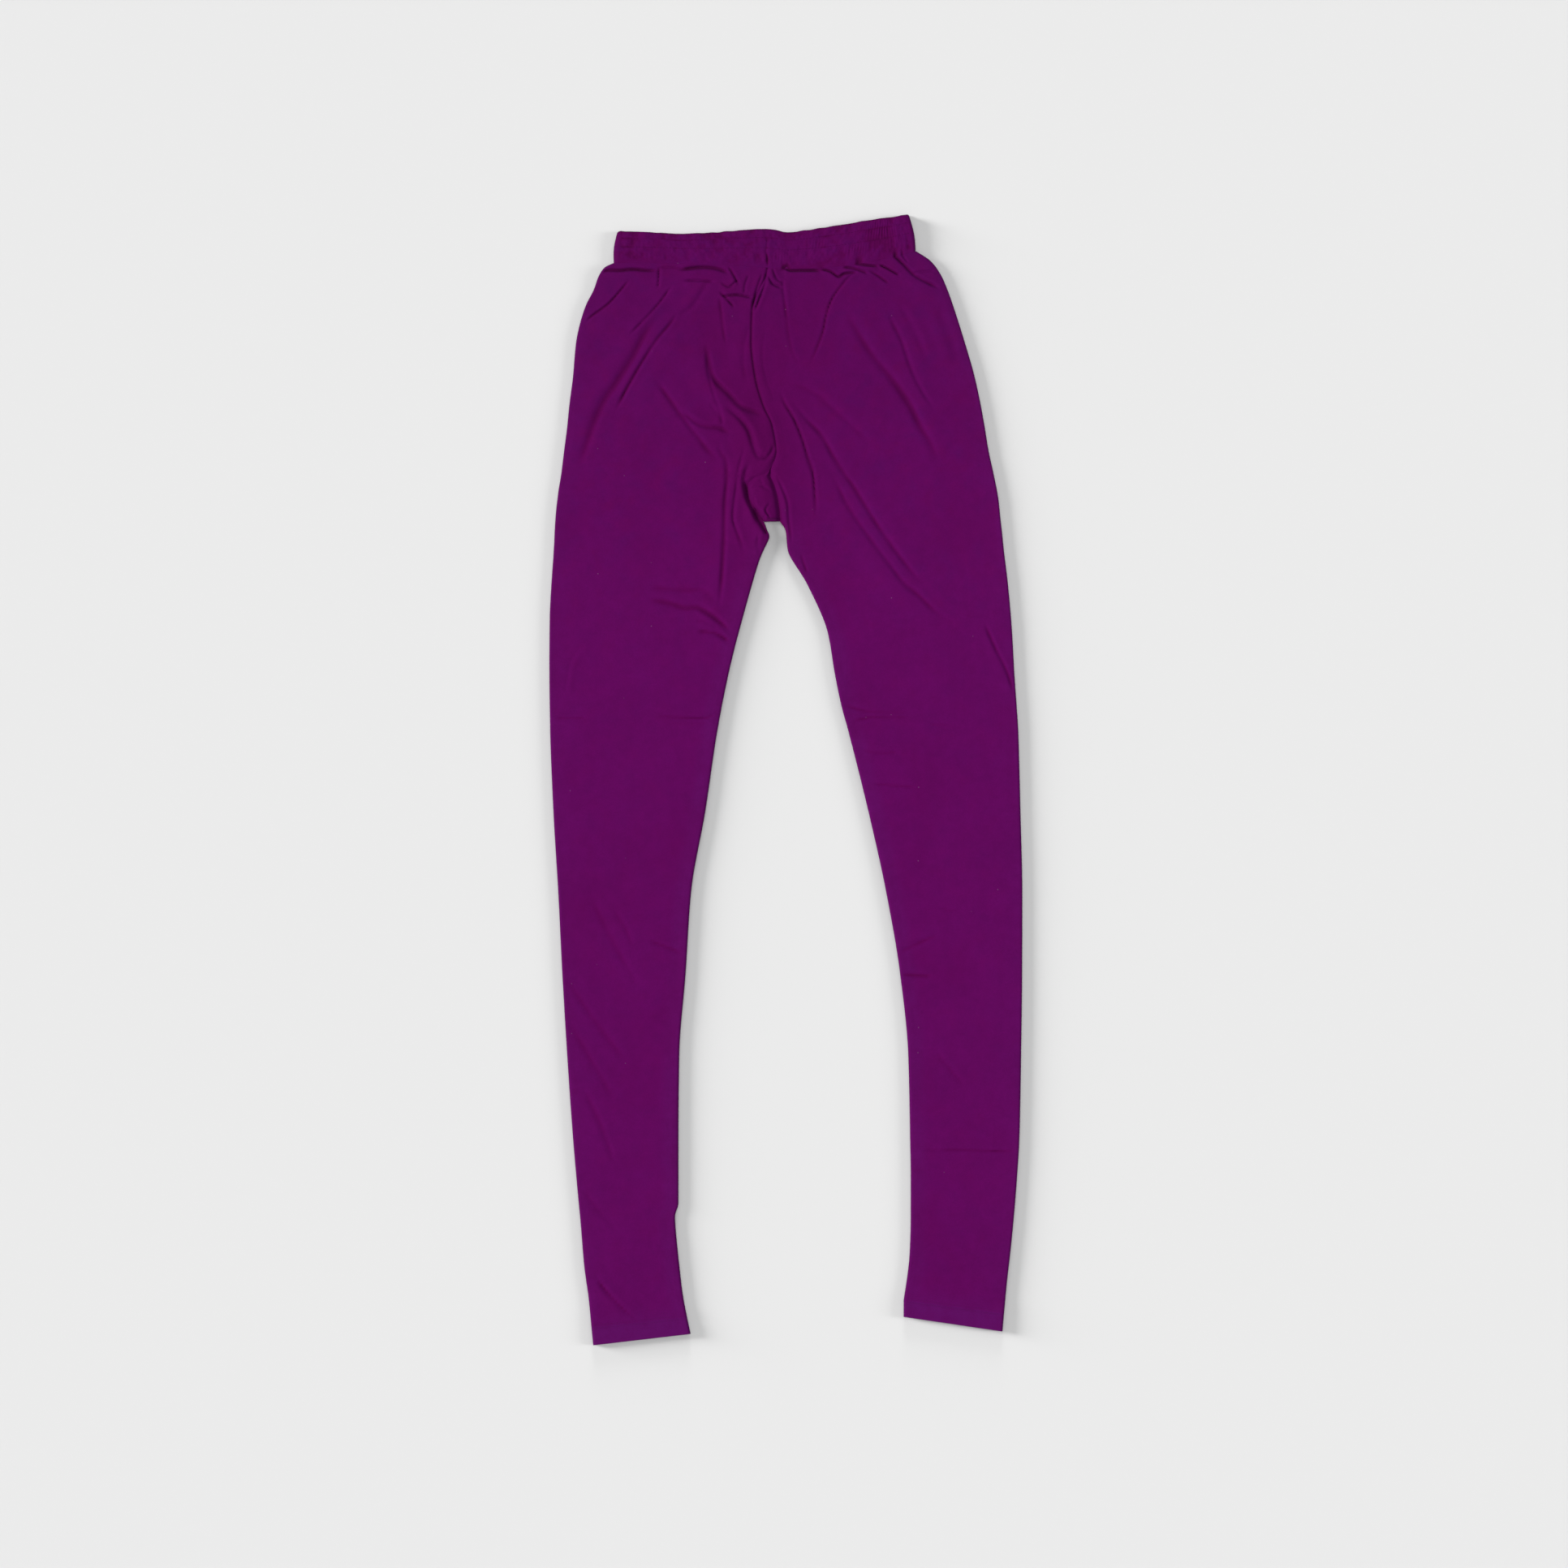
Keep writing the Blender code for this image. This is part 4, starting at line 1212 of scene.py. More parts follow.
@dataclass(frozen=True)
class ThreadFinish:
    """Twisted sewing thread, dyed to match the cloth."""

    name: str
    dye: Colour = (0.150, 0.010, 0.150)
    shade: Colour = (0.105, 0.005, 0.105)
    roughness: float = 0.8
    specular: float = 0.03
    twists: float = 1800.0
    relief: float = 0.04 * MM

    def material(self) -> bpy.types.Material:
        """Builds the material.

        Returns:
            The material.
        """
        bench = NodeBench(self.name)
        place = bench.add("TexCoord").outputs["Object"]
        twist = bench.add("TexWave", wave_type="BANDS", bands_direction="DIAGONAL")
        bench.feed(twist.inputs["Vector"], place)
        twist.inputs["Scale"].default_value = self.twists
        strand = twist.outputs["Fac"]
        colour = bench.mix(strand, (*self.shade, 1.0), (*self.dye, 1.0))
        bench.feed(bench.shader.inputs["Base Color"], colour)
        bench.shader.inputs["Roughness"].default_value = self.roughness
        bench.shader.inputs["Specular IOR Level"].default_value = self.specular
        bump = bench.add("Bump")
        bump.inputs["Distance"].default_value = self.relief
        bench.feed(bump.inputs["Height"], strand)
        bench.feed(bench.shader.inputs["Normal"], bump.outputs["Normal"])
        return bench.material


@dataclass(frozen=True)
class Stitching:
    """A run of straight stitches laid along lines on the cloth."""

    length: float = 2.3 * MM
    gap: float = 0.7 * MM
    thickness: float = 0.34 * MM
    sides: int = 6
    bulge: tuple[tuple[float, float], ...] = (
        (0.0, 0.35), (0.12, 0.85), (0.5, 1.0), (0.88, 0.85), (1.0, 0.35)
    )
    sunk: float = 0.15
    tip_depth: float = 0.8

    def build(
        self, name: str, lines: list[tuple[Array, Array]], material: bpy.types.Material
    ) -> bpy.types.Object:
        """One piece with every stitch of the run.

        Args:
            name: Name of the piece.
            lines: Points along each line and the cloth's normals there.
            material: Thread finish.

        Returns:
            The object.
        """
        points, faces = [], []
        for line, normals in lines:
            steps = np.linalg.norm(np.diff(line, axis=0), axis=1)
            travelled = np.concatenate([[0.0], np.cumsum(steps)])
            starts = np.arange(self.gap, travelled[-1] - self.length - self.gap, self.length + self.gap)
            for start in starts:
                ends = [start, start + self.length]
                head, tail = (self.read(line, travelled, end) for end in ends)
                up = self.read(normals, travelled, start + self.length / 2)
                ring_faces = self.stitch_faces(len(points) * self.stitch_size())
                points.append(self.stitch_points(head, tail, up))
                faces.extend(ring_faces)
        placed = np.vstack(points)
        placed[:, 2] = np.maximum(placed[:, 2], 0.0)
        return mesh_piece(name, placed, faces, material)

    def stitch_size(self) -> int:
        """Points in one stitch."""
        return len(self.bulge) * self.sides + 2

    def read(self, values: Array, travelled: Array, at: float) -> Array:
        """Value at a distance along a line."""
        return np.array([np.interp(at, travelled, values[:, axis]) for axis in range(3)])

    def stitch_points(self, head: Array, tail: Array, up: Array) -> Array:
        """Points of one stitch, a low capsule half sunk in the cloth.

        Args:
            head: Where the thread comes up.
            tail: Where it goes down.
            up: The cloth's normal.

        Returns:
            Points of its rings and its two tips.
        """
        way = (tail - head) / max(np.linalg.norm(tail - head), TINY)
        up = up - way * (up @ way)
        up /= max(np.linalg.norm(up), TINY)
        across = np.cross(up, way)
        radius = self.thickness / 2
        rings = []
        for share, swell in self.bulge:
            middle = head + share * (tail - head) + up * radius * (swell - 1.0 + self.sunk)
            for turn in range(self.sides):
                angle = 2 * math.pi * turn / self.sides
                offset = across * math.cos(angle) + up * math.sin(angle)
                rings.append(middle + offset * radius * swell)
        tips = [end - up * radius * (self.tip_depth - self.sunk) for end in (head, tail)]
        return np.array([*rings, *tips])

    def stitch_faces(self, first: int) -> list[list[int]]:
        """Faces of one stitch.

        Args:
            first: Number of its first vertex.

        Returns:
            Lists of vertex numbers.
        """
        faces = []
        rings = len(self.bulge)
        head, tail = first + rings * self.sides, first + rings * self.sides + 1
        for turn in range(self.sides):
            other = (turn + 1) % self.sides
            for ring in range(rings - 1):
                low, high = first + ring * self.sides, first + (ring + 1) * self.sides
                faces.append([low + turn, high + turn, high + other, low + other])
            faces.append([head, first + turn, first + other])
            last = first + (rings - 1) * self.sides
            faces.append([tail, last + other, last + turn])
        return faces


@dataclass(frozen=True)
class LegPanel:
    """One leg's panel: it wraps round the outer fold and meets itself in the inseam."""

    side: Side
    node: str
    leg: tuple[LegSection, ...]
    relief: Relief
    flat: tuple[float, float]
    flat_area: float
    cloth: float = 0.7 * MM
    hem_cloth: float = 1.7 * MM
    seam_gap: float = 0.05 * MM
    seam_dip: float = 1.35 * MM
    seam_dip_reach: float = 1.4 * MM
    gusset_dip: float = 2.6 * MM
    gusset_dip_reach: float = 3.4 * MM
    row_spacing: float = 3.4 * MM
    plain_below: float = 40.0 * MM
    hem_zone: float = 24.0
    hem_spacing: float = 1.1
    front_parts: int = 142
    back_parts: int = 22
    drawn: float = 0.3
    inseam_degrees: tuple[int, ...] = (6, 28, 50, 72)
    fold_degrees: tuple[int, ...] = (90, 66, 44, 22, 0, -22, -44, -66, -90)
    allowance: float = 7.0 * MM
    allowance_rise: float = 0.1 * MM
    inseam_tone: float = 0.46
    inseam_band: float = 15.0 * MM
    fold_tone: float = 0.42
    fold_band: float = 12.0 * MM
    hem_band: float = 24.0 * MM
    stitch_rows: tuple[float, ...] = (16.2 * MM, 19.8 * MM)
    far: float = 1.0

    def table(self) -> Array:
        """Outer and inner ends and bow of every cut, from the hem to the waist, in millimetres."""
        body = GUSSET_BODY + SEAM_BODY
        if self.side is Side.RIGHT:
            upper = [(s.right_x, s.right_y, s.right_edge_x, s.right_edge_y, s.right_bow) for s in body]
        else:
            upper = [(s.left_x, s.left_y, s.left_edge_x, s.left_edge_y, s.left_bow) for s in body]
        lower = [(s.outer_x, s.outer_y, s.inner_x, s.inner_y, 0.0) for s in self.leg]
        return np.array(lower + upper)

    def spacing(self, y: float) -> float:
        """Distance between mesh rows at a place along the garment, all in millimetres."""
        if y < self.leg[0].outer_y + self.hem_zone:
            return self.hem_spacing
        for zone in ROW_ZONES:
            if zone.low_y <= y < zone.high_y:
                return zone.spacing
        return self.row_spacing / MM

    def places(self, table: Array, corners: tuple[int, ...]) -> tuple[list[float], list[int]]:
        """Fractional rows of the table for the mesh rows.

        Args:
            table: The cuts.
            corners: Cuts that a mesh row has to lie on.

        Returns:
            The fractional rows, and the mesh row of each corner.
        """
        stops = [0, *corners, len(table) - 1]
        places: list[float] = []
        found = []
        for low, high in zip(stops, stops[1:]):
            fine = np.linspace(low, high, 40 * (high - low) + 1)
            outer = np.array([eased_at(table[:, :2], place) for place in fine])
            lengths = np.linalg.norm(np.diff(outer, axis=0), axis=1)
            middles = (outer[:-1, 1] + outer[1:, 1]) / 2
            parts = np.array([length / self.spacing(y) for length, y in zip(lengths, middles)])
            counted = np.concatenate([[0.0], np.cumsum(parts)])
            steps = max(1, math.ceil(counted[-1]))
            wanted = np.linspace(0.0, counted[-1], steps + 1)[:-1]
            places.extend(np.interp(wanted, counted, fine).tolist())
            found.append(len(places))
        places.append(float(len(table) - 1))
        return places, found[:-1]

    def moved_edge(self, edge: Array, breaks: list[int]) -> Array:
        """The inner edge moved off its seam line by half the seam's gap.

        Args:
            edge: Points along the edge.
            breaks: Rows where it turns a corner.

        Returns:
            The moved points.
        """
        ways = np.gradient(edge, axis=0)
        for row in breaks:
            ways[row] = edge[row + 1] - edge[row]
            ways[row - 1] = edge[row - 1] - edge[row - 2]
        ways /= np.linalg.norm(ways, axis=1)[:, None]
        aside = np.column_stack([-ways[:, 1], ways[:, 0]])
        return edge - self.side.value * self.seam_gap / 2 * aside

    def seam_drop(self, distance: Array, opened: Array, gusset: Array) -> Array:
        """How far the cloth dips into its seams, beside the centre front and the gusset.

        Args:
            distance: Distance from the inner edge.
            opened: 1 on rows where the inner edge is sewn to another panel.
            gusset: 1 on rows beside the gusset.

        Returns:
            Drop in metres.
        """
        centre = self.seam_dip * np.exp(-((distance / self.seam_dip_reach) ** 2))
        beside = self.gusset_dip * np.exp(-((distance / self.gusset_dip_reach) ** 2))
        return opened * (centre + gusset * (beside - centre))

    def grid(self) -> tuple[Array, Array, Array, Array, Array]:
        """Points of the panel's face from its front inner edge round to its back one.

        Returns:
            The face's points, its points before the creases, their rise, each row's distance
            from the hem, and the two tones of each point.
        """
        table = self.table()
        gusset_row = len(self.leg)
        seam_row = gusset_row + len(GUSSET_BODY)
        places, corners = self.places(table, (gusset_row, seam_row))
        outer = np.array([eased_at(table[:, :2], place) for place in places]) * MM
        breaks = (gusset_row, seam_row)
        inner = np.array([eased_at(table[:, 2:4], place, breaks) for place in places]) * MM
        bow = np.array([eased_at(table[:, 4:], place)[0] for place in places]) * MM
        closed = np.interp(places, (gusset_row - 2, gusset_row - 1, gusset_row), (1.0, 0.6, 0.0))
        drawn_flat = self.relief.smooth_seam(
            inner[:, 1]
        ) if self.side is Side.RIGHT else np.zeros(len(inner))
        moved = self.moved_edge(inner, corners)
        inner = np.where(closed[:, None] < 1.0, moved, inner)
        hem = np.hypot(*(outer - outer[0]).T)
        across = outer - inner
        width = np.linalg.norm(across, axis=1)
        across = across / width[:, None]
        beside_gusset = smoothstep((np.array(places) - gusset_row + 2.0) / 2.0)
        beside_gusset = beside_gusset * (1.0 - smoothstep((np.array(places) - seam_row + 1.0) / 2.5))

        inner_zero = np.zeros_like(width)
        inner_radius = self.relief.level(inner[:, 0], inner[:, 1], inner_zero, hem) / 2
        outer_radius = self.relief.level(outer[:, 0], outer[:, 1], inner_zero, hem) / 2
        flat = width - inner_radius - outer_radius

        def plan(distance: Array, bow_share: float = 1.0) -> Array:
            """Plan points at a distance in from the inner edge, for every row."""
            share = distance / width
            spots = inner + across * distance[:, None]
            spots[:, 1] += 4.0 * bow * bow_share * share * (1.0 - share)
            return spots

        def face(distance: Array) -> tuple[Array, Array]:
            """Front points before the creases, and how far the creases lift them."""
            spots = plan(distance)
            from_inner = distance + (1.0 - closed) * self.far
            edge = np.minimum(width - distance, from_inner)
            x, y = spots[:, 0], spots[:, 1]
            level = self.relief.level(x, y, edge, hem)
            ridge = smoothstep(distance / MM) * (1 - smoothstep((distance - self.allowance) / MM))
            level = level + self.allowance_rise * ridge
            rise = self.relief.front(x, y, edge, hem)
            rise = rise - self.seam_drop(distance, (1.0 - closed) * (1.0 - drawn_flat), beside_gusset)
            rise = np.maximum(rise, self.relief.least - level)
            return np.column_stack([spots, level]), rise

        def toned(distance: Array) -> Array:
            """Tone at a distance in from the inner edge: along the inseam, the fold and the hem."""
            inseam = self.inseam_tone * closed * (1 - smoothstep((distance / self.inseam_band - 0.6) / 0.8))
            fold = self.fold_tone * np.exp(-(width - distance) / self.fold_band)
            turned = 0.6 * (1.0 - smoothstep((hem - self.relief.hem_depth) / MM + 0.5))
            above = 0.4 * (1.0 - smoothstep((hem - self.relief.hem_depth) / self.hem_band))
            return np.maximum(np.maximum(inseam, fold), turned + above)

        levels, rises, tones = [], [], []
        for degrees in self.inseam_degrees:
            angle = math.radians(degrees)
            distance = inner_radius * (1.0 - math.cos(angle))
            points, rise = face(distance)
            bent = inner_radius * (1.0 + math.sin(angle))
            points[:, 2] += closed * (bent - points[:, 2])
            levels.append(points)
            rises.append(rise * (1.0 - closed))
            tones.append(toned(distance))
        even = np.linspace(0.0, 1.0, self.front_parts + 1)[:-1]
        shares = even + self.drawn * (0.5 - 0.5 * np.cos(math.pi * even) - even)
        for share in shares:
            points, rise = face(inner_radius + share * flat)
            levels.append(points)
            rises.append(rise)
            tones.append(toned(inner_radius + share * flat))
        for degrees in self.fold_degrees:
            angle = math.radians(degrees)
            distance = width - outer_radius * (1.0 - math.cos(angle))
            up = 1.0 + math.sin(angle)
            levels.append(np.column_stack([plan(distance, up / 2), outer_radius * up]))
            rises.append(inner_zero)
            tones.append(toned(distance))
        for part in range(1, self.back_parts + 1):
            distance = width - outer_radius - part / self.back_parts * flat
            spots = plan(distance, 0.0)
            edge = np.minimum(width - distance, distance + (1.0 - closed) * self.far)
            levels.append(np.column_stack([spots, inner_zero]))
            lift = smoothstep(edge / self.relief.fold_fade)
            dip = self.seam_drop(distance, 1.0 - closed, inner_zero) / 2
            rises.append(lift * self.relief.back(spots[:, 0], spots[:, 1], hem) + dip)
            tones.append(toned(distance))
        for degrees in self.inseam_degrees[::-1]:
            angle = math.radians(degrees)
            distance = inner_radius * (1.0 - math.cos(angle))
            below = inner_radius * (1.0 - math.sin(angle))
            levels.append(np.column_stack([plan(distance, 0.0), closed * below]))
            rises.append(self.seam_drop(distance, 1.0 - closed, inner_zero) / 2)
            tones.append(toned(distance))
        level = np.stack(levels, axis=1)
        rise = np.stack(rises, axis=1)
        points = level.copy()
        points[..., 2] += rise
        # Painted shade in the creases and round the crotch
        folded = self.relief.folded(points, rise)
        return points, level, rise, hem, np.stack([np.stack(tones, axis=1), folded], axis=2)

    def build(self, cloth: bpy.types.Material, thread: bpy.types.Material) -> list[bpy.types.Object]:
        """Builds the panel and its hem stitching, and dresses them.

        Args:
            cloth: Finish of the panel.
            thread: Finish of the stitching.

        Returns:
            The panel and the stitching.
        """
        points, level, rise, hem, tone = self.grid()
        turned = 1.0 - smoothstep((hem - self.relief.hem_depth) / (2.0 * MM))
        wall = self.cloth + turned * (self.hem_cloth - self.cloth)
        thickness = np.repeat(wall[:, None], points.shape[1], axis=1)
        shell = Wall(halved_rows=int(np.searchsorted(points[:, 0, 1], self.plain_below)))
        if self.side is Side.RIGHT:
            inner = shell.inner_points(level[:, ::-1], rise[:, ::-1], thickness)[:, ::-1]
        else:
            inner = shell.inner_points(level, rise, thickness)
        mesh_points, faces, tones = shell.close(points, inner, tone, self.side is Side.RIGHT)
        panel = mesh_piece(f"knit_{self.node}", mesh_points, faces, cloth)
        tone_cloth(panel, tones)
        stitching = Stitching().build(
            f"hem_stitches_{self.side.name.lower()}", self.hem_lines(points, hem), thread
        )
        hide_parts(self.node)
        for piece in (panel, stitching):
            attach(piece, BODY)
        return [panel, stitching]

    def hem_lines(self, points: Array, hem: Array) -> list[tuple[Array, Array]]:
        """Lines round the leg that the hem's two rows of stitches follow.

        Args:
            points: Grid of points of the panel's face.
            hem: Distance of each row from the hem.

        Returns:
            Points along each line and the cloth's normals there.
        """
        outward = grid_normals(points) * self.side.value
        rows = np.arange(len(hem))
        lines = []
        for distance in self.stitch_rows:
            place = float(np.interp(distance, hem[hem < 0.1], rows[hem < 0.1]))
            row, part = int(place), place - int(place)
            line = points[row] + part * (points[row + 1] - points[row])
            normals = outward[row] + part * (outward[row + 1] - outward[row])
            lines.append((line, normals))
        return lines


@dataclass(frozen=True)
class Gusset:
    """The small folded piece between the two panels at the crotch."""

    relief: Relief
    flat: tuple[float, float]
    flat_area: float
    node: str = "gusset"
    cloth: float = 0.7 * MM
    seam_gap: float = 0.05 * MM
    rows: int = 60
    columns: int = 36
    back_rows: int = 14
    point: float = 0.9
    edge_dip: float = 3.0 * MM
    edge_dip_reach: float = 3.0 * MM
    fold_degrees: tuple[int, ...] = (90, 66, 44, 22, 0, -22, -44, -66, -90)
    creases: tuple[Crease, ...] = (
        Crease(((-32, 280), (-31, 272), (-29, 263)), 1.6, 1.3),
        Crease(((-15, 273), (-20, 266), (-15, 258)), 1.3, 1.1, 0.8, -5),
        Crease(((-35, 286), (-28, 290), (-20, 288)), 0.6, 1.2, 0.9, -5),
        Crease(((-30, 262), (-24, 258), (-19, 262)), 0.7, 1.2, 0.4, 4),
        Crease(((-26, 300), (-22, 290), (-13, 283)), 0.5, 1.6, 0.5, 5),
    )
    far: float = 1.0

    def edges(self, place: float) -> tuple[Array, Array]:
        """Right and left ends of a cut across the gusset.

        Args:
            place: Fractional row of the table.

        Returns:
            Two plan points, in metres.
        """
        cuts = (*GUSSET_BODY, SEAM_BODY[0])
        right = np.array([(s.right_edge_x, s.right_edge_y) for s in cuts])
        left = np.array([(s.left_edge_x, s.left_edge_y) for s in cuts])
        inset = np.array([self.seam_gap / 2, 0.0])
        return eased_at(right, place) * MM + inset, eased_at(left, place) * MM - inset

    def build(self, cloth: bpy.types.Material) -> list[bpy.types.Object]:
        """Builds the gusset and dresses it.

        Args:
            cloth: Its finish.

        Returns:
            The gusset.
        """
        last = len(GUSSET_BODY) - 1 + self.point
        shares = np.linspace(0.0, 1.0, self.columns + 1)
        far = np.full(len(shares), self.far)
        levels, rises = [], []

        def cut(place: float) -> tuple[Array, Array]:
            """Plan points across the gusset and their distance from its side edges."""
            right, left = self.edges(place)
            length = float(np.linalg.norm(left - right))
            spots = right + shares[:, None] * (left - right)
            return spots, np.minimum(shares, 1.0 - shares) * length

        for place in np.linspace(last, 0.0, self.rows, endpoint=False):
            spots, from_edge = cut(place)
            x, y = spots[:, 0], spots[:, 1]
            level = self.relief.level(x, y, far, far)
            rise = self.relief.front(x, y, far, far)
            for crease in self.creases:
                rise = rise + self.relief.form.rise(crease, x, y)
            smooth = self.relief.smooth_seam(y) * (shares < 0.5)
            rise = rise - self.edge_dip * (1.0 - smooth) * np.exp(-((from_edge / self.edge_dip_reach) ** 2))
            levels.append(np.column_stack([spots, level]))
            rises.append(np.maximum(rise, self.relief.least - level))
        foot, from_edge = cut(0.0)
        foot_rise = self.relief.front(foot[:, 0], foot[:, 1], far, far)
        foot_rise = foot_rise - self.edge_dip * np.exp(-((from_edge / self.edge_dip_reach) ** 2))
        radius = np.maximum(self.relief.laid + foot_rise, self.relief.least) / 2
        for degrees in self.fold_degrees:
            angle = math.radians(degrees)
            spots = foot + np.column_stack([np.zeros_like(radius), radius * (1.0 - math.cos(angle))])
            levels.append(np.column_stack([spots, radius * (1.0 + math.sin(angle))]))
            rises.append(np.zeros_like(radius))
        for place in np.linspace(0.0, last, self.back_rows + 1)[1:]:
            spots, _ = cut(place)
            levels.append(np.column_stack([spots, np.zeros(len(shares))]))
            rises.append(np.zeros(len(shares)))
        level = np.array(levels)
        rise = np.array(rises)
        points = level.copy()
        points[..., 2] += rise
        thickness = np.full(rise.shape, self.cloth)
        shell = Wall(coarse_step=2)
        inner = shell.inner_points(level[:, ::-1], rise[:, ::-1], thickness)[:, ::-1]
        # The second tone is painted shade in the gusset's creases and round the crotch
        tone = np.stack([np.zeros_like(rise), self.relief.folded(points, rise)], axis=2)
        mesh_points, faces, tones = shell.close(points, inner, tone, True)
        piece = mesh_piece("knit_gusset", mesh_points, faces, cloth)
        tone_cloth(piece, tones)
        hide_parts(self.node)
        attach(piece, BODY)
        return [piece]


@dataclass(frozen=True)
class Waistband:
    """The gathered casing with elastic in it, one closed ring laid flat."""

    relief: Relief
    flat: tuple[float, float]
    flat_area: float
    node: str = "waistband"
    wall: float = 2.4 * MM
    thickness: float = 5.6 * MM
    seam_gap: float = 0.05 * MM
    front_stations: int = 620
    back_stations: int = 150
    face_rows: int = 30
    end_degrees: tuple[int, ...] = (75, 60, 45, 30, 15, 0, -15, -30, -45, -60, -75)
    end_share: float = 0.01
    gathers: int = 104
    gather_rise: float = 0.5 * MM
    patch_rise: float = 0.6 * MM
    pucker_rise: float = 0.32 * MM
    slow_rise: float = 0.5 * MM
    edge_wave: float = 0.4 * MM
    stitch_shares: tuple[float, ...] = (0.52, 0.80)
    stitch_groove: float = 0.55 * MM
    # A groove this deep takes the band's full painted shade
    deep: float = 1.5 * MM
    groove_share: float = 0.03
    foot_share: float = 0.13
    foot_drop: float = 0.42 * MM
    seam_foot_x: float = -18.0 * MM
    seam_top_x: float = -19.0 * MM
    seam_depth: float = 1.5 * MM
    seam_width: float = 1.1 * MM
    seam_wobble: float = 0.9 * MM
    top_round: float = 1.2 * MM
    corner: float = 3.0 * MM
    corner_drop: float = 1.8 * MM
    end_bulge: float = 1.6 * MM
    swell: Swell = Swell(21)
    slow_swell: Swell = Swell(23)

    def plan(self, share: float, bow_share: float) -> tuple[Array, Array]:
        """Foot and top of the band at a share of the way from its right end to its left.

        Args:
            share: The share.
            bow_share: 1 on the front layer and 0 on the back one.

        Returns:
            Two plan points, in metres.
        """
        table = np.array(BAND, float)
        value = eased_at(table, share * (len(BAND) - 1))
        foot_x = value[2] * MM
        foot_y = float(waist_seam_y(np.array(foot_x), bow_share)) + self.seam_gap
        return np.array([foot_x, foot_y]), value[:2] * MM

    def section(self) -> tuple[Array, Array, Array]:
        """Outline of the wall: outer face up, over the turned top edge and down the inside.

        Returns:
            For each point its share of the band's height, its depth into the wall as a share
            of the wall, and how much of the face's relief it takes.
        """
        face = np.linspace(0.0, 1.0, self.face_rows)
        face = 0.35 * (0.5 - 0.5 * np.cos(math.pi * face)) + 0.65 * face
        shares = [*face[:-1].tolist()]
        depths = [0.0] * len(shares)
        takes = [1.0] * len(shares)
        for degrees in (70, 35, 0, -35, -70):
            angle = math.radians(degrees)
            shares.append(1.0 + 0.5 * math.cos(angle) * 0.06)
            depths.append(0.5 - 0.5 * math.sin(angle))
            takes.append(0.5 + 0.5 * math.sin(angle))
        for share in (0.97, 0.66, 0.33, 0.03):
            shares.append(share)
            depths.append(1.0)
            takes.append(0.0)
        for degrees in (-60, 0, 60):
            angle = math.radians(degrees)
            shares.append(-0.006 * math.cos(angle))
            depths.append(0.5 - 0.45 * math.sin(angle))
            takes.append(0.5 + 0.5 * math.sin(angle))
        return np.array(shares), np.array(depths), np.array(takes)

    def face_rise(self, x: float, shares: Array, foot_rise: float) -> Array:
        """Relief of the front face: gathers in three tiers, stitched grooves, the seam and swell.

        Args:
            x: Place along the band, in metres.
            shares: Shares of the band's height.
            foot_rise: How far the panels' creases lift the cloth at the waist seam.

        Returns:
            Rise in metres.
        """
        left_end, right_end = BAND[0].foot_x * MM, BAND[-1].foot_x * MM
        turns = (x - left_end) / (right_end - left_end) * self.gathers
        tier = np.digitize(shares, self.stitch_shares)
        along = np.full_like(shares, turns)
        lean = 0.55 * self.swell.at(along / 6.0, shares * 2.0 + 9.0 * tier)
        uneven = 0.6 + 0.55 * self.swell.at(along / 1.7 + 40.0, 7.3 * tier + shares)
        wave = np.sin(2 * math.pi * (along + lean + 0.37 * tier)) * uneven
        strength = np.zeros_like(shares)
        for patch in GATHER_PATCHES:
            off_x = (x / MM - patch.x) / patch.reach_x
            off_share = (shares - patch.share) / patch.reach_share
            strength = strength + patch.strength * np.exp(-(off_x**2 + off_share**2))
        rumple = self.swell.at(along * 0.5 + 5.0, shares * 6.5 + 9.0 * tier)
        pucker = self.swell.at(along * 1.1 + 61.0, shares * 15.0 + 3.0 * tier)
        rise = self.patch_rise * strength * wave + self.gather_rise * rumple
        rise = rise + self.pucker_rise * pucker
        stitched = np.zeros_like(shares)
        for share in self.stitch_shares:
            stitched = stitched + np.exp(-(((shares - share) / self.groove_share) ** 2))
        pull = np.clip(0.15 + 1.5 * self.swell.at(along / 4.5 + 17.0, 11.0 * tier), 0.0, 1.2)
        rise = rise * (1.0 - 0.4 * stitched) - self.stitch_groove * pull * stitched
        seam_x = self.seam_foot_x + shares * (self.seam_top_x - self.seam_foot_x)
        seam_x = seam_x + self.seam_wobble * self.swell.at(shares * 7.0, shares * 0.0)
        seamed = np.exp(-(((x - seam_x) / self.seam_width) ** 2))
        drawn_in = 0.7 * (
            1.0 - smoothstep((shares - 0.2) / 0.25)
        ) + 0.3 * (1.0 - smoothstep((shares - 0.7) / 0.15))
        rise = rise - self.seam_depth * seamed * drawn_in
        beside = (np.abs(x - seam_x) - 3.2 * MM) / (2.2 * MM)
        rise = rise + 0.3 * MM * np.exp(-(beside**2))
        slow = self.slow_swell.at(np.full_like(shares, x / (17 * MM)), shares * 2.2)
        rise = rise + self.slow_rise * slow
        foot = np.exp(-((shares / self.foot_share) ** 2))
        rounding = 0.55 * MM * np.exp(-(1.0 - shares) / 0.03) + self.foot_drop * foot
        return rise * (1.0 - foot) + foot_rise * foot - rounding

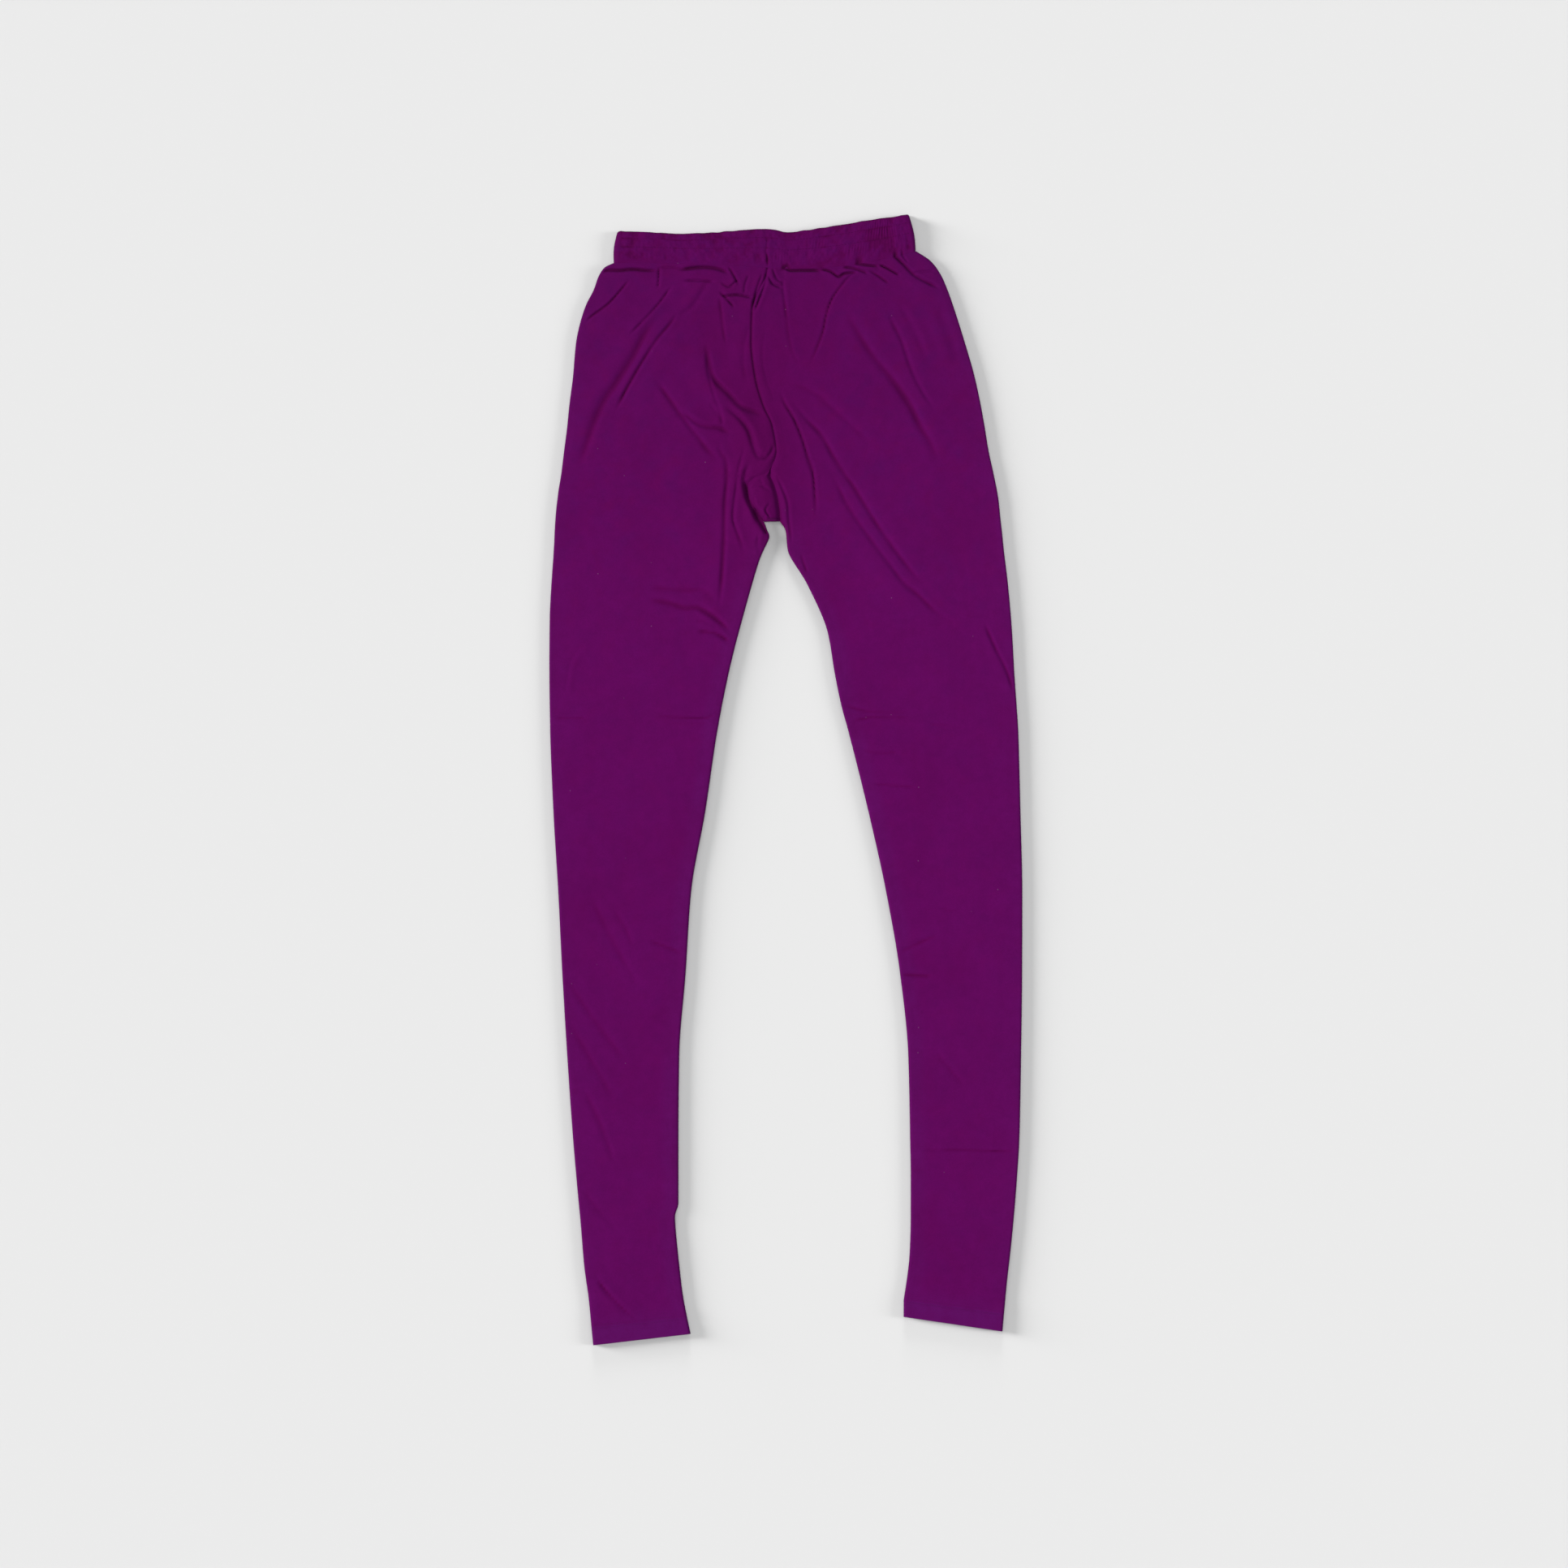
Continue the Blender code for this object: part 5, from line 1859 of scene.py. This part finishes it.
    def ring(self, share: float, outward: int, degrees: float) -> Array:
        """Points round the wall at one station of the flattened loop.

        Args:
            share: Share of the way from the right end to the left.
            outward: -1 at the right end, 1 at the left one and 0 between.
            degrees: 90 on the front layer and -90 on the back one.

        Returns:
            Points of the wall's outline, and in a fourth column how far the relief lifts them.
        """
        angle = math.radians(degrees)
        up = math.sin(angle)
        bow_share = (1.0 + up) / 2
        foot, top = self.plan(share, bow_share)
        foot_before, top_before = self.plan(share - outward * self.end_share, bow_share)
        foot_way = (foot - foot_before) / self.end_share
        top_way = (top - top_before) / self.end_share
        width = (BAND[-1].top_x - BAND[0].top_x) * MM
        radius = self.thickness / 2
        shares, depths, takes = self.section()
        reach = radius - depths * self.wall
        far = np.ones(1)
        foot_rise = self.relief.front(foot[:1], foot[1:], far, far)[0]
        relief = self.face_rise(float(foot[0]), shares, foot_rise) * takes * max(up, 0.0)
        from_end = min(share, 1.0 - share) * width - radius + radius * (1 - abs(math.cos(angle)))
        rounding = 1.0 - min(max(from_end / self.corner, 0.0), 1.0)
        drop = self.corner_drop * (1.0 - math.sqrt(1.0 - min(rounding, 1.0) ** 2))
        height = np.linalg.norm(top - foot)
        wavy = self.edge_wave * float(self.slow_swell.at(foot[:1] / (7 * MM) + 50.0, foot[:1] * 0.0)[0])
        lowered = shares * (1.0 - (drop - wavy) / height)
        bulge = self.end_bulge * np.sin(math.pi * np.clip(shares, 0.0, 1.0)) * math.cos(angle) ** 2
        way = foot_way + shares[:, None] * (top_way - foot_way)
        spots = foot + lowered[:, None] * (top - foot)
        spots = spots + way * (reach * math.cos(angle) / width)[:, None]
        spots[:, 0] += outward * bulge
        return np.column_stack([spots, radius + reach * up + relief, relief])

    def rings(self) -> Array:
        """Rings of points round the flattened loop, front first, with the relief's lift."""
        radius = self.thickness / 2
        inset = radius / ((BAND[-1].top_x - BAND[0].top_x) * MM)
        front = np.linspace(inset, 1 - inset, self.front_stations + 1)
        back = np.linspace(1 - inset, inset, self.back_stations + 1)
        rings = [self.ring(share, 0, 90) for share in front]
        rings += [self.ring(1 - inset, 1, degrees) for degrees in self.end_degrees]
        rings += [self.ring(share, 0, -90) for share in back]
        rings += [self.ring(inset, -1, degrees) for degrees in self.end_degrees[::-1]]
        return np.array(rings)

    def build(self, cloth: bpy.types.Material, thread: bpy.types.Material) -> list[bpy.types.Object]:
        """Builds the band and its stitching, and dresses them.

        Args:
            cloth: Finish of the band.
            thread: Finish of the stitching.

        Returns:
            The band and the stitching.
        """
        rings = self.rings()
        # Painted shade in the band's grooves and gathers, from how deep its relief sinks
        folded = np.clip(-rings[..., 3] / self.deep, 0.0, 1.0)
        rings = rings[..., :3]
        count, around = rings.shape[:2]
        ids = np.arange(count * around).reshape(count, around)
        ids = np.vstack([ids, ids[:1]])
        ids = np.hstack([ids, ids[:, :1]])
        band = mesh_piece("knit_waistband", rings, quads(ids, True), cloth)
        tone_cloth(band, np.stack([np.zeros_like(folded), folded], axis=2).reshape(-1, 2))
        stitching = Stitching(thickness=0.32 * MM).build(
            "waistband_stitches", self.stitch_lines(rings), thread
        )
        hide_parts(self.node)
        for piece in (band, stitching):
            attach(piece, BODY)
        return [band, stitching]

    def stitch_lines(self, rings: Array) -> list[tuple[Array, Array]]:
        """Lines round the band that its rows of stitches follow.

        Args:
            rings: Rings of points of the wall.

        Returns:
            Points along each line and the cloth's normals there.
        """
        shares, _, _ = self.section()
        outward = -grid_normals(rings)
        lines = []
        for share in self.stitch_shares:
            column = int(np.argmin(np.abs(shares[: self.face_rows - 1] - share)))
            lines.append((rings[:, column], outward[:, column]))
        return lines


@dataclass(frozen=True)
class Studio:
    """Pale floor, soft light and a camera straight above."""

    view_width: float = 1.5456
    view_centre: tuple[float, float] = (-2.0 * MM, -3.6 * MM)
    lens: float = 85.0
    sensor: float = 36.0
    clip_end: float = 50.0
    floor_size: float = 12.0
    floor_gap: float = 0.05 * MM
    floor_grey: float = 0.5595
    fill: Colour = (0.99, 1.0, 1.01)
    fill_strength: float = 0.46
    floor_tint: Colour = (1.004, 1.0, 0.995)
    cloth_tint: Colour = (1.056, 1.0, 0.95)
    cloth_lights: tuple[
        tuple[str, float, float, float, float], ...
    ] = (("cloth_key", 184.0, 44.0, 20.0, 2.35),)
    floor_lights: tuple[tuple[str, float, float, float, float], ...] = (
        ("high", 150.0, 80.0, 20.0, 0.64),
        ("low_left", 165.0, 9.2, 17.0, 10.0),
        ("low_right", 0.0, 14.0, 16.0, 2.7),
        ("low_top", 90.0, 8.0, 13.0, 2.5),
    )

    def floor(self) -> bpy.types.Object:
        """The pale floor.

        Returns:
            Its object.
        """
        bench = NodeBench("pale_floor")
        bench.shader.inputs["Base Color"].default_value = (*(self.floor_grey,) * 3, 1.0)
        bench.shader.inputs["Roughness"].default_value = 1.0
        bench.shader.inputs["Specular IOR Level"].default_value = 0.0
        half = self.floor_size / 2
        corners = [(-half, -half), (half, -half), (half, half), (-half, half)]
        points = np.array([(x, y, -self.floor_gap) for x, y in corners])
        floor = mesh_piece("floor", points, [[0, 1, 2, 3]], bench.material)
        return floor

    def sun(
        self, name: str, azimuth: float, elevation: float, angle: float, strength: float
    ) -> bpy.types.Object:
        """A distant soft light.

        Args:
            name: Name of the light.
            azimuth: Where it stands, in degrees from +X towards +Y.
            elevation: Its height over the floor, in degrees.
            angle: Its apparent size, in degrees.
            strength: Its power.

        Returns:
            Its object.
        """
        light = bpy.data.lights.new(name, "SUN")
        light.energy = strength
        light.angle = math.radians(angle)
        lamp = bpy.data.objects.new(name, light)
        lamp.rotation_euler = (0.0, math.radians(90.0 - elevation), math.radians(azimuth))
        bpy.context.scene.collection.objects.link(lamp)
        return lamp

    def light(self, floor: bpy.types.Object, garment: list[bpy.types.Object]) -> None:
        """Lights the cloth softly, and the floor with low light that draws soft shadows.

        Args:
            floor: The floor.
            garment: The pieces of the garment.
        """
        world = bpy.data.worlds.new("soft_fill")
        world.use_nodes = True
        background = world.node_tree.nodes["Background"]
        background.inputs["Color"].default_value = (*self.fill, 1.0)
        background.inputs["Strength"].default_value = self.fill_strength
        bpy.context.scene.world = world
        groups = (
            ("lit_cloth", garment, self.cloth_tint, self.cloth_lights),
            ("lit_floor", [floor], self.floor_tint, self.floor_lights),
        )
        for name, pieces, tint, lights in groups:
            lit = bpy.data.collections.new(name)
            for piece in pieces:
                lit.objects.link(piece)
            for settings in lights:
                lamp = self.sun(*settings)
                lamp.data.color = tint
                lamp.light_linking.receiver_collection = lit

    def camera(self) -> None:
        """Puts the camera straight above, with the photo's framing."""
        data = bpy.data.cameras.new("camera")
        data.lens = self.lens
        data.sensor_width = self.sensor
        data.clip_end = self.clip_end
        camera = bpy.data.objects.new("camera", data)
        distance = self.view_width * self.lens / self.sensor
        camera.location = (*self.view_centre, distance)
        bpy.context.scene.collection.objects.link(camera)
        bpy.context.scene.camera = camera

    def build(self, garment: list[bpy.types.Object]) -> None:
        """Sets up the floor, the lights, the camera and plain colour handling."""
        self.light(self.floor(), garment)
        self.camera()
        bpy.context.scene.view_settings.view_transform = "Standard"


def main() -> None:
    """Builds the studio and the garment's pieces in order."""
    logging.basicConfig(level=logging.INFO, format="%(message)s")
    panel_cloth = JerseyFinish("panel_jersey").material()
    band_cloth = JerseyFinish(
        "waistband_jersey", wale=0.6 * MM, drift_cells=120.0, patch_cells=240.0
    ).material()
    hem_thread = ThreadFinish("hem_thread").material()
    band_thread = ThreadFinish("waistband_thread", (0.088, 0.0025, 0.070), (0.064, 0.002, 0.050)).material()
    relief = Relief()
    pieces = LegPanel(
        Side.RIGHT, "leg_right", RIGHT_LEG, relief, (0.40, 1.12), 0.33
    ).build(panel_cloth, hem_thread)
    pieces += LegPanel(
        Side.LEFT, "leg_left", LEFT_LEG, relief, (0.41, 1.12), 0.34
    ).build(panel_cloth, hem_thread)
    pieces += Gusset(relief, (0.034, 0.10), 0.0024).build(panel_cloth)
    pieces += Waistband(relief, (0.66, 0.038), 0.0251).build(band_cloth, band_thread)
    for piece in pieces:
        LOG.info("%s rides on %s", piece.name, BODY)
    Studio().build(pieces)


if __name__ == "__main__":
    main()
